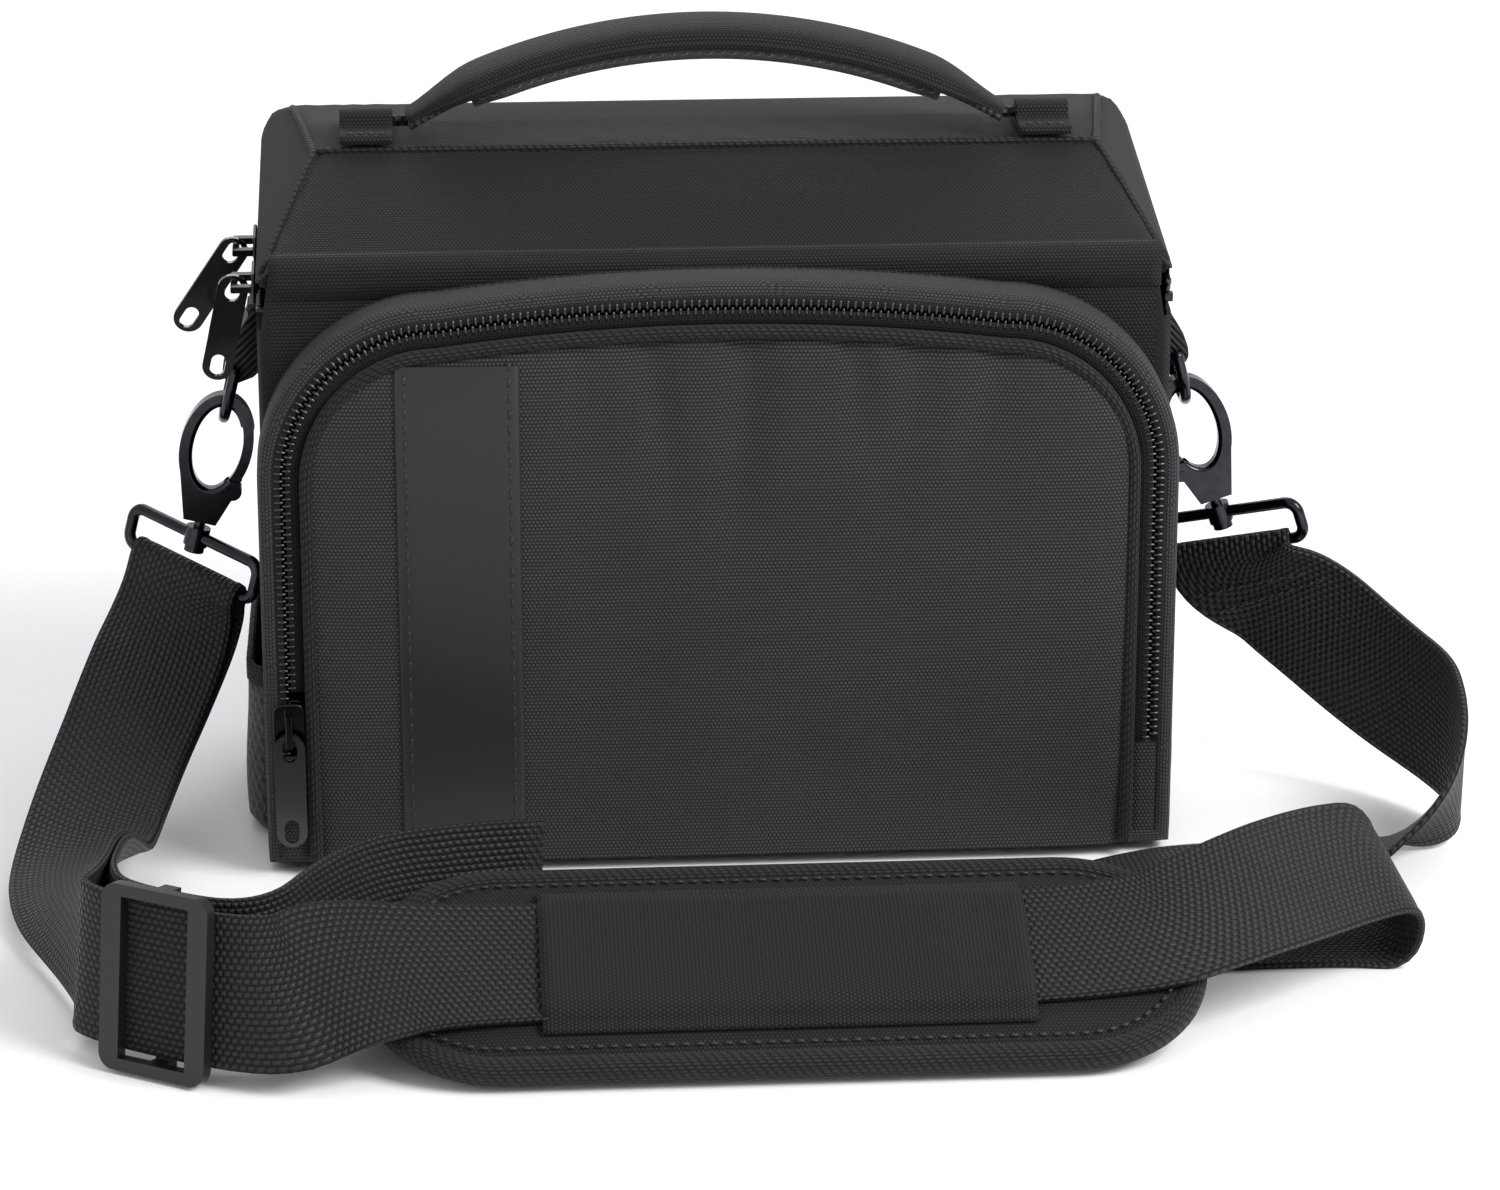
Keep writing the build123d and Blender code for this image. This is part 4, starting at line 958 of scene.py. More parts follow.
# ------------------------------------------------------------------ body
@dataclass
class Tub:
    """Padded tub of the body: outer cloth, lining, rim binding, bottom piping and seams."""

    foot_round: float = 5.0
    hem: float = 9.0
    lining_inset: float = 6.6
    floor: float = 9.1

    def rim(self, point: Vector) -> float:
        """Height of the cloth's top edge above a point of the plan outline."""
        if point.y < BODY_FRONT + 0.6 and abs(point.x) < HALF_WIDTH - 2.4:
            return 157.5
        return zip_height(point.y) - FABRIC_FROM_ZIP * ZIP_SLOPE

    def puff(self, point: Vector, height: float) -> float:
        """How far the padded wall stands out or dips at a place."""
        face = math.sin(math.pi * min(max(height / 145, 0), 1))
        ripple = 0.45 * math.sin(point.x / 17 + point.y / 13 + height / 31)
        return face * ((0.7 if point.y > BODY_BACK - 2 else 0.0) + 0.3 * ripple)

    def cloth(self) -> None:
        """Outer cloth, from under the base up to its hemmed top edge."""
        rows = []
        for inset in (44, 34, 24, 14, self.foot_round):
            outline = plan_outline(inset, BACK_CORNER + inset / 2, 8 + inset, 1.0)
            rows.append([Vector((p.x, p.y, 0.15)) for p in outline])
        outline = plan_outline(0, step=2.5)
        rows = [self.matched(row, outline) for row in rows]
        for angle in spread(0, 90, 5)[1:]:
            a = math.radians(angle)
            inward = self.foot_round * (1 - math.sin(a))
            rise = self.foot_round * (1 - math.cos(a)) + 0.15
            rows.append([self.inward(p, inward) + Vector((0, 0, rise)) for p in outline])
        for share in spread(0, 1, 26)[1:]:
            row = []
            for p in outline:
                z = self.foot_round + share * (self.rim(p) - self.foot_round)
                row.append(self.inward(p, -self.puff(p, z)) + Vector((0, 0, z)))
            rows.append(row)
        for drop in (0.0, self.hem):
            rows.append([self.inward(p, 1.2) + Vector((0, 0, self.rim(p) - drop)) for p in outline])
        dress(grid("body_cloth", rows, OXFORD_DARK, closed=True, caps=(0,)), Slot.CANVAS, "bag", "body_shell")

    def matched(self, row: Sequence[Vector], outline: Sequence[Vector]) -> list[Vector]:
        """A row's points at the places where lines from the middle to an outline's points cross it."""
        middle = Vector((0, BODY_MIDDLE, 0))
        flat = [(math.atan2(p.y - middle.y, p.x), p) for p in row]
        found = []
        for p in outline:
            angle = math.atan2(p.y - middle.y, p.x)
            found.append(min(flat, key=lambda q: abs(math.remainder(q[0] - angle, 2 * math.pi)))[1])
        return found

    def inward(self, point: Vector, depth: float) -> Vector:
        """A point of the plan outline, moved in towards the bag."""
        flat, slack = HALF_WIDTH - BACK_CORNER, 0.01
        low, high = BODY_FRONT + FRONT_CORNER, BODY_BACK - BACK_CORNER
        x = min(max(point.x, -flat), flat)
        y = min(max(point.y, low), high)
        if abs(point.x) < flat - slack or low + slack < point.y < high - slack:
            y = point.y if abs(point.x) > HALF_WIDTH - slack else y
            x = point.x if abs(point.x) < flat - slack else x
        way = Vector((point.x - x, point.y - y, 0))
        if way.length < 1e-6:
            return point.copy()
        return point - way.normalized() * depth

    def seams(self) -> None:
        """Corded piping round the base and twill binding down both back corners."""
        base = [self.inward(p, 0.6) + Vector((0, 0, 3.4)) for p in plan_outline(0, step=3.0)]
        back = [p for p in base if p.y > BODY_FRONT + 2]
        first = next(i for i in range(len(back)) if (back[i] - back[i - 1]).length > 20)
        line = back[first:] + back[:first]
        piping = sweep("base_piping", line, round_section(1.5), Vector((0, 0, 1)), TWILL)
        dress(piping, Slot.BINDING, "bag")
        for side, end in ENDS:
            x, y = side * (HALF_WIDTH - 3.6), BODY_BACK - 3.6
            top = zip_height(y) - FABRIC_FROM_ZIP - 1
            line = [Vector((x, y, z)) for z in spread(5, top, 30)]
            seam = sweep(f"back_corner_piping_{end}", line, round_section(1.4), Vector((1, 0, 0)), TWILL)
            dress(seam, Slot.BINDING, "bag")

    def lining(self) -> None:
        """Brushed lining, from the floor up to the bound rim."""
        outline = plan_outline(self.lining_inset, step=3.0)
        rows = []
        for wide, deep, z in ((0.05, 0.05, -0.2), (0.3, 0.3, -0.2), (0.6, 0.6, -0.2), (0.85, 0.85, -0.2),
                              (0.97, 0.97, -0.2), (0.995, 0.99, 0.8)):
            rows.append([Vector((p.x * wide, BODY_MIDDLE + (p.y - BODY_MIDDLE) * deep, self.floor + z))
                         for p in outline])
        for share in spread(0, 1, 14):
            row = []
            for p in outline:
                top = zip_height(p.y) - 12.6
                row.append(Vector((p.x, p.y, self.floor + 2 + share * (top - self.floor - 2))))
            rows.append(row)
        lining = grid("body_brushed_lining", rows, BRUSHED_LINING, closed=True, caps=(0,))
        dress(lining, Slot.LINING, "bag", "body_lining", "body_foam")

    def rim_binding(self) -> None:
        """Twill binding over the raw edges of cloth, foam and lining."""
        outline = plan_outline(3.4, step=3.0)
        rim = [Vector((p.x, p.y, zip_height(p.y) - 11.6)) for p in outline]
        bound = sweep("rim_twill_binding", rim, rounded_bar(2.2, 5.6, 1.0), Vector((0, 0, 1)), TWILL,
                      closed=True)
        dress(bound, Slot.BINDING, "bag", "rim_binding")

    def build(self) -> None:
        """Build the tub."""
        self.cloth()
        self.seams()
        self.lining()
        self.rim_binding()
        for side, end in ENDS:
            self.divider(side, end)

    def divider(self, side: int, end: str) -> None:
        """Padded divider: lining over foam, with a crowned face and a soft edge.

        Args:
            side: -1 at the left and 1 at the right.
            end: Its name in the node's name.
        """
        low, high = (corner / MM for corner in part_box(f"divider_{end}"))
        middle = (low + high) / 2
        depth, tall, thick = (high - low).y / 2, (high - low).z / 2, (high - low).x / 2
        rows = []
        for x_side in (-1, 1):
            shares = [1, 0.985, 0.95, 0.88, 0.75, 0.5, 0.1]
            for share in (reversed(shares) if x_side < 0 else shares):
                x = x_side * thick * (0.35 + 0.64 * (1 - share ** 10) ** 0.5)
                rows.append([middle + Vector((x, a * share, b * share))
                             for a, b in rounded_bar(2 * depth, 2 * tall, 6.0, 5)])
        piece = grid(f"padded_divider_{end}", rows, BRUSHED_LINING, closed=True, caps=(0, len(rows) - 1))
        dress(piece, Slot.LINING, "divider_a" if side < 0 else "divider_b", f"divider_{end}")


@dataclass
class Lid:
    """Hip-roofed lid: outer cloth, ridge piping, lining, edge binding and the cloth fold that hinges it."""

    fold: Flat = (-42.0, 160.0)
    ridge_y: float = 0.0
    ridge_z: float = 181.0
    crown: Flat = (24.0, 183.6)
    back: Flat = (50.0, 183.0)
    back_edge_z: float = 178.5
    hip_x: float = 104.0

    def __post_init__(self) -> None:
        """Find the plane of the sloping sides."""
        low_front = Vector((HALF_WIDTH, ZIP_FRONT_Y, zip_height(ZIP_FRONT_Y) + FABRIC_FROM_ZIP))
        low_back = Vector((HALF_WIDTH, BODY_BACK, zip_height(BODY_BACK) + FABRIC_FROM_ZIP))
        top_front = Vector((self.hip_x, self.ridge_y, self.ridge_z))
        self.hip_low = low_front
        self.hip_way = (low_back - low_front).cross(top_front - low_front).normalized()

    def profile(self, y: float) -> float:
        """Height of the lid's middle at depth y."""
        knots = [self.fold, (self.ridge_y, self.ridge_z), self.crown, self.back]
        knots.append((BODY_BACK, self.back_edge_z))
        for (y0, z0), (y1, z1) in zip(knots, knots[1:]):
            if y <= y1:
                break
        return z0 + (z1 - z0) * (y - y0) / (y1 - y0)

    def hip(self, x: float, y: float) -> float:
        """Height of the sloping side at a place."""
        way = self.hip_way
        return self.hip_low.z - (way.x * (abs(x) - self.hip_low.x) + way.y * (y - self.hip_low.y)) / way.z

    def height(self, x: float, y: float, soft: float = 2.2) -> float:
        """Height of the lid's cloth at a place, its creases softened."""
        a, b = self.profile(y), self.hip(x, y)
        share = min(max(0.5 + 0.5 * (b - a) / soft, 0), 1)
        lower = b + (a - b) * share - soft * share * (1 - share)
        slope = smooth_step(-40, -20, y) * smooth_step(4, -12, y) * smooth_step(112, 80, abs(x))
        return lower + slope * (0.9 + 0.5 * math.sin(x / 23.0 + 0.6))

    def surface(self, inset: float, drop: float, step: float = 2.5) -> Rows:
        """Rows from the rim in to the middle.

        Args:
            inset: How far inside the lid's outer face the rim lies.
            drop: How far below the outer cloth.
            step: Spacing along the rim.

        Returns:
            The rows.
        """
        outline = plan_outline(inset, step=step)
        middle = Vector((0, 18.0, 0))
        rows = []
        for share in (1, 0.985, 0.965, 0.94, 0.91, 0.88, 0.85, 0.82, 0.78, 0.73, 0.67, 0.6, 0.52, 0.43, 0.33,
                      0.2, 0.05):
            row = []
            for p in outline:
                q = middle.lerp(p, share)
                row.append(Vector((q.x, q.y, self.height(q.x, q.y) - drop)))
            rows.append(row)
        return rows

    def build(self) -> None:
        """Build the lid."""
        outer = self.surface(0, 0)
        turned = [Vector((p.x * 0.985, BODY_MIDDLE + (p.y - BODY_MIDDLE) * 0.975, p.z - 0.3))
                  for p in outer[0]]
        cloth = grid("lid_cloth", [turned, *outer], OXFORD_DARK, closed=True, caps=(len(outer),),
                     place=lambda p: (p.x, p.y * 1.05 + p.z * 0.3))
        dress(cloth, Slot.CANVAS, "lid", "lid_shell", "lid_foam")
        inner = self.surface(5.6, 5.4, 3.5)
        lining = grid("lid_brushed_lining", inner, BRUSHED_LINING, closed=True, caps=(len(inner) - 1,),
                      place=lambda p: (p.x, p.y))
        dress(lining, Slot.LINING, "lid", "lid_lining")
        self.rim_band()
        self.ridges()
        self.fold_strip()

    def rim_band(self) -> None:
        """Binding that closes the lid's edge between its cloth and its lining."""
        rows = []
        for inset, drop in ((0.5, 0.2), (2.0, 1.0), (4.0, 1.0), (5.8, 1.4)):
            row = [Vector((p.x, p.y, self.height(*self.outer_match(p, inset)) - drop))
                   for p in plan_outline(inset)]
            rows.append(resample(row, 1.0, True))
        band = grid("lid_edge_binding", same_count(rows, closed=True), TWILL, closed=True)
        dress(band, Slot.BINDING, "lid")

    def outer_match(self, point: Vector, inset: float) -> Flat:
        """Place on the outer rim beside a point that lies inside it."""
        x = point.x * HALF_WIDTH / (HALF_WIDTH - inset)
        y = BODY_MIDDLE + (point.y - BODY_MIDDLE) * HALF_DEPTH / (HALF_DEPTH - inset)
        return min(max(x, -HALF_WIDTH), HALF_WIDTH), min(max(y, BODY_FRONT), BODY_BACK)

    def ridges(self) -> None:
        """Piping along the top panel's front edge and down both hips."""
        front = [Vector((x, self.ridge_y, self.height(x, self.ridge_y) + 0.1))
                 for x in spread(-self.hip_x + 1, self.hip_x - 1, 60)]
        dress(sweep("lid_front_piping", front, round_section(1.1), Vector((0, 0, 1)), TWILL),
              Slot.BINDING, "lid")
        for side, end in ENDS:
            line = [Vector((side * (117.4 - 13.8 * t), -38 + 38 * t, 0)) for t in spread(0, 1, 14)]
            line += [Vector((side * (103.6 + 6.6 * t), 46 * t, 0)) for t in spread(0, 1, 14)[1:]]
            for p in line:
                p.z = self.height(p.x, p.y) - 0.1
            dress(sweep(f"lid_hip_piping_{end}", line, round_section(1.1), Vector((0, 0, 1)), TWILL),
                  Slot.BINDING, "lid")

    def fold_strip(self) -> None:
        """Cloth between the tub's front wall and the lid."""
        y, z = self.fold
        rows = []
        bend = ((-0.6, -8.0), (-0.8, -4.0), (-0.9, -1.5), (-0.7, 0.0), (0.2, 1.2), (1.8, 2.3), (3.6, 3.3))
        for dy, dz in bend:
            rows.append([Vector((x, y + dy, z + dz)) for x in spread(-115.5, 115.5, 70)])
        strip = grid("lid_fold_cloth", rows, OXFORD_DARK, thick=0.5)
        dress(strip, Slot.CANVAS)
        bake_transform(strip)


@dataclass
class MainZip:
    """The coil zip between tub and lid: two tapes and two interlocking coil halves."""

    pitch: float = 1.9
    inset: float = 0.9
    parked: float = 4.0           # both sliders are parked in front of this depth
    from_middle: float = 1.05     # from the zip's middle line to the middle of a turn
    turn: tuple[float, float, float] = (0.52, 1.45, 1.05)      # half sizes: along, across and outward

    def coil(self, name: str, line: Sequence[Vector], phase: float, toward: Callable[[Vector], Vector],
             out: Callable[[Vector], Vector]) -> bpy.types.Object:
        """Wind one coil half.

        Args:
            name: The piece's name.
            line: The zip's middle line.
            phase: Share of the pitch by which this half is staggered.
            toward: Gives a way to this half's side of the zip at a point.
            out: Gives the way out of the tape at a point.

        Returns:
            The coil.
        """
        turns = []
        for middle, way in along_line(line, self.pitch, phase):
            across = way.cross(out(middle)).normalized()
            across = across if across.dot(toward(middle)) > 0 else -across
            turns.append(Bead(middle + across * self.from_middle, way, across, self.turn))
        return beads(name, turns, NYLON, 6, 8)

    def outward(self, point: Vector) -> Vector:
        """Way out of the bag at a point of the main zip."""
        flat = HALF_WIDTH - BACK_CORNER
        x = point.x - min(max(point.x, -flat), flat)
        y = max(point.y - (BODY_BACK - BACK_CORNER), 0)
        return Vector((x, y, 0)).normalized() if abs(x) + y > 1e-6 else Vector((0, 1, 0))

    def build(self) -> None:
        """Build both tapes and both coil halves."""
        up = Vector((0, -ZIP_RISE, 1)).normalized()
        parts = (("tub", "bag", -1, 7.5, 0.0, ("body_zip_tape", "body_zip_teeth")),
                 ("lid", "lid", 1, 6.4, 0.5, ("lid_zip_tape", "lid_zip_teeth")))
        for name, body, side, tape_edge, phase, nodes in parts:
            lifts = (2.0, 3.4, 5.0, tape_edge)
            rows = [zip_line(1.0 + i * 0.05, side * lift, 2.5) for i, lift in enumerate(lifts)]
            line = zip_line(self.inset, 0.0)
            if side > 0:
                # The lid's half starts behind the two parked sliders, on their side.
                rows = [[p for p in row if p.x > 0 or p.y > self.parked] for row in rows]
                line = [p for p in line if p.x > 0 or p.y > self.parked]
            tape = grid(f"{name}_zip_tape_cloth", same_count(rows), ZIP_TAPE, thick=0.5)
            dress(tape, Slot.TAPE, body, nodes[0])
            half = self.coil(f"{name}_zip_coil", line, phase, lambda p, side=side: up * side, self.outward)
            dress(half, Slot.COIL, body, nodes[1])


# ------------------------------------------------------------------ front pocket
@dataclass(frozen=True)
class Crease:
    """One crease of the front panel, running down from its upper edge."""

    start: float                  # where it leaves the edge, across the panel
    lean: float                   # sideways run for each unit down
    wide: float
    deep: float
    reach: float                  # how far down it fades


@dataclass
class FrontPocket:
    """Arched pocket: side band, zip, bound and padded front panel, leather trim."""

    bottom: float = 3.0
    top: float = 158.0
    rise: float = 5.0
    corner: float = 46.0
    gusset_front: float = -57.2
    fold_y: float = -60.0
    fold_z: float = 30.0
    zip_foot: float = 32.0        # lower end of the zip
    parked: float = 51.0          # top of the parked slider
    zip_inset: float = 5.9
    panel_inset: float = 10.6
    trim: Flat = (-84.0, -52.0)
    creases: tuple[Crease, ...] = (Crease(-20, 0.12, 5.5, 1.5, 60), Crease(9, -0.08, 6.0, 1.9, 72),
                                   Crease(31, 0.16, 4.5, 1.4, 50), Crease(54, -0.12, 6.5, 1.7, 60),
                                   Crease(79, -0.30, 6.0, 1.3, 52), Crease(-40, 0.2, 7.0, 0.6, 40))

    def arch(self, inset: float, low: float, y: float, step: float = 2.0,
             low_right: float | None = None) -> list[Vector]:
        """Arched line from the left foot over the top to the right foot.

        Args:
            inset: How far inside the pocket's outline.
            low: Height of both feet, or of the left one.
            y: Its depth.
            step: Spacing of the points.
            low_right: Height of the right foot, where it differs.

        Returns:
            The line's points.
        """
        half, radius = HALF_WIDTH - inset, self.corner - inset
        shoulder, flat = self.top - self.rise - inset, HALF_WIDTH - self.corner
        left = [Vector((-half, y, low))]
        for angle in spread(0, 90, 16):
            a = math.radians(angle)
            in_by, down_by = radius * (1 - math.cos(a)), radius * (1 - math.sin(a))
            left.append(Vector((in_by - half, y, shoulder - down_by)))
        crown = [Vector((x, y, shoulder + self.rise * (1 - (x / flat) ** 2)))
                 for x in spread(-flat, flat, 24)]
        right = [Vector((-p.x, y, p.z)) for p in reversed(left)]
        right[-1].z = low if low_right is None else low_right
        return resample(left + crown[1:-1] + right, step)

    def ring(self, inset: float, y: float, step: float = 2.5) -> list[Vector]:
        """The arch closed along its foot, as one loop."""
        foot = self.bottom + inset
        arch = self.arch(inset, foot, y, step)
        floor = resample([arch[-1], arch[0]], step)[1:-1]
        return arch + floor

    def swell(self, x: float, z: float) -> float:
        """How far the padded panel stands out from its edge at a place."""
        edge = min(HALF_WIDTH - self.panel_inset - abs(x), self.arch_top(x) - z)
        belly = math.sin(math.pi * min(max(z / 150, 0), 1)) ** 0.7
        puff = 3.2 * (1 - math.exp(-max(edge, 0) / 4.5)) + 1.6 * belly
        sag = -0.9 * smooth_step(30, 4, z)
        creased = 0.0
        depth = self.top - z
        for crease in self.creases:
            off_line = (x - crease.start - crease.lean * depth) / crease.wide
            fade = smooth_step(6, 16, depth) * smooth_step(crease.reach + 18, crease.reach * 0.35, depth)
            creased += crease.deep * fade * math.exp(-off_line ** 2)
        slow = 0.35 * math.sin(x / 31 + 1.2) * math.sin(z / 27)
        return max(puff + sag, 0) - creased + slow

    def arch_top(self, x: float) -> float:
        """Height of the panel's edge above a place, measured up the arch."""
        inset, flat = self.panel_inset, HALF_WIDTH - self.corner
        shoulder = self.top - self.rise - inset
        if abs(x) <= flat:
            return shoulder + self.rise * (1 - (x / flat) ** 2)
        radius = self.corner - inset
        reach = min((abs(x) - flat) / radius, 1)
        return shoulder - radius + radius * math.sqrt(1 - reach ** 2)

    def face_y(self, x: float, z: float) -> float:
        """Depth of the panel's face at a place."""
        return self.gusset_front - 0.6 - self.swell(x, z)

    def follow_flap(self, piece: bpy.types.Object) -> None:
        """Bake a piece's transform into its mesh."""
        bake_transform(piece)

    def gusset(self) -> None:
        """Side band of the pocket, rounded over at the front and seamed to the body."""
        # The first two rows are the seam allowance, which lies on the body's front and closes the seam.
        lines = ((9.0, -41.4), (0.8, -41.6), (0.0, -42.2), (-0.3, -46.0), (-0.2, -51.0), (0.0, -55.0),
                 (0.7, -56.9), (1.9, -57.6), (3.6, -57.7))
        rows = same_count([self.ring(inset, y) for inset, y in lines], closed=True)
        band = grid("pocket_side_band", rows, OXFORD, closed=True, thick=0.6)
        dress(band, Slot.PANEL, "bag", "pocket_gusset")
        back = self.arch(0.2, self.bottom + 1, -43.4, 3.0)
        seam = sweep("pocket_back_piping", back, round_section(1.2), Vector((0, 1, 0)), TWILL)
        dress(seam, Slot.BINDING, "bag")

    def feet(self) -> None:
        """Cloth beside the panel, below the zip's lower ends."""
        for side, end in ENDS:
            heights = spread(self.bottom + 1, self.zip_foot + 1, 12)
            rows = [[Vector((side * (HALF_WIDTH - inset), self.gusset_front - 0.7, z)) for z in heights]
                    for inset in (3.0, 5.5, 8.0, 11.4)]
            foot = grid(f"pocket_foot_{end}", rows, OXFORD, thick=0.6, place=lambda p: (p.x, p.z))
            dress(foot, Slot.PANEL, "bag")

    def arched_zip(self, winder: MainZip) -> None:
        """Pocket zip: its outer half stays on the band, its inner half goes with the flap."""
        y = self.gusset_front - 0.55
        middle = Vector((0, y, 70))
        halves = (("pocket", "bag", (3.2, 4.0, 5.2), -1, self.zip_foot, 0.0),
                  ("flap", "pocket_flap", (6.6, 8.0, 11.6), 1, self.parked, 0.5))
        for name, body, insets, side, low, phase in halves:
            rows = [self.arch(inset, low, y - 0.1, low_right=self.zip_foot) for inset in insets]
            tape = grid(f"{name}_zip_tape_cloth", same_count(rows), ZIP_TAPE, thick=0.5)
            dress(tape, Slot.TAPE, body, f"{name}_zip_tape")
            line = self.arch(self.zip_inset, low, y, low_right=self.zip_foot)
            half = winder.coil(f"{name}_zip_coil", line, phase, lambda p, side=side: (middle - p) * side,
                               lambda p: Vector((0, -1, 0)))
            dress(half, Slot.COIL, body, f"{name}_zip_teeth")

    def panel(self) -> None:
        """Padded front panel, one cloth from its foot to its bound arch, creased under the zip."""
        ring = self.ring(self.panel_inset, 0, 2.0)
        foot = self.bottom + 0.4
        ring = [Vector((p.x, 0, foot if p.z < self.bottom + self.panel_inset + 0.1 else p.z)) for p in ring]
        middle = Vector((0, 0, 74))
        shares = [1, 0.995, 0.985, 0.97, 0.95, 0.925, 0.895, 0.86, 0.82, 0.775, 0.73, 0.68, 0.63, 0.575, 0.52,
                  0.46, 0.4, 0.33, 0.26, 0.18, 0.1, 0.02]
        rows = []
        for share in shares:
            row = [middle.lerp(p, share) for p in ring]
            rows.append([Vector((q.x, self.face_y(q.x, q.z), q.z)) for q in row])
        under = [Vector((p.x, self.gusset_front, p.z)) for p in ring]
        cloth = grid("pocket_panel_cloth", [under, *rows], OXFORD, closed=True, caps=(len(rows),),
                     place=lambda p: (p.x, p.z))
        dress(cloth, Slot.PANEL, None, "pocket_panel", "pocket_lower_panel", "pocket_foam")
        self.follow_flap(cloth)
        edge = self.arch(self.panel_inset + 1.4, self.bottom + 1.5, self.gusset_front - 2.2)
        binding = sweep("pocket_panel_binding", edge, rounded_bar(4.4, 3.6, 1.6, 4), Vector((0, 1, 0)), TWILL)
        dress(binding, Slot.BINDING)
        self.follow_flap(binding)

    def trim_band(self) -> None:
        """Smooth leather band down the panel, with a row of stitches near each edge."""
        left, right = self.trim
        high = min(self.arch_top(left), self.arch_top(right)) - 2.0
        rows = []
        # Across the band: how far it stands off the panel, with both edges rolled down to the cloth.
        section = [(left, 0.15), (left + 0.4, 0.75), (left + 1.2, 0.95)]
        section += [(x, 1.0) for x in spread(left + 4, right - 4, 8)]
        section += [(right - 1.2, 0.95), (right - 0.4, 0.75), (right, 0.15)]
        for x, lift in section:
            row = []
            for z in spread(self.bottom + 1.0, high, 90):
                top = min(z, self.arch_top(x) - 2.0)
                row.append(Vector((x, self.face_y(x, top) - lift, top)))
            rows.append(row)
        band = grid("leather_trim_band", rows, COATED_LEATHER, place=lambda p: (p.x, p.z))
        dress(band, Slot.LEATHER, None, "trim_band", "trim_band_lower")
        self.follow_flap(band)
        for x, name in ((left + 2.6, "left"), (right - 2.6, "right")):
            line = [Vector((x, self.face_y(x, z) - 1.0, z))
                    for z in spread(self.bottom + 3, self.arch_top(x) - 4, 70)]
            sewn = stitches(f"trim_stitches_{name}", line, Vector((0, -1, 0)), 4.2, 2.9)
            dress(sewn, Slot.LEATHER)
            self.follow_flap(sewn)

    def build(self, winder: MainZip) -> None:
        """Build the pocket.

        Args:
            winder: Winds the coils, to the main zip's size.
        """
        self.gusset()
        self.feet()
        self.arched_zip(winder)
        self.panel()
        self.trim_band()


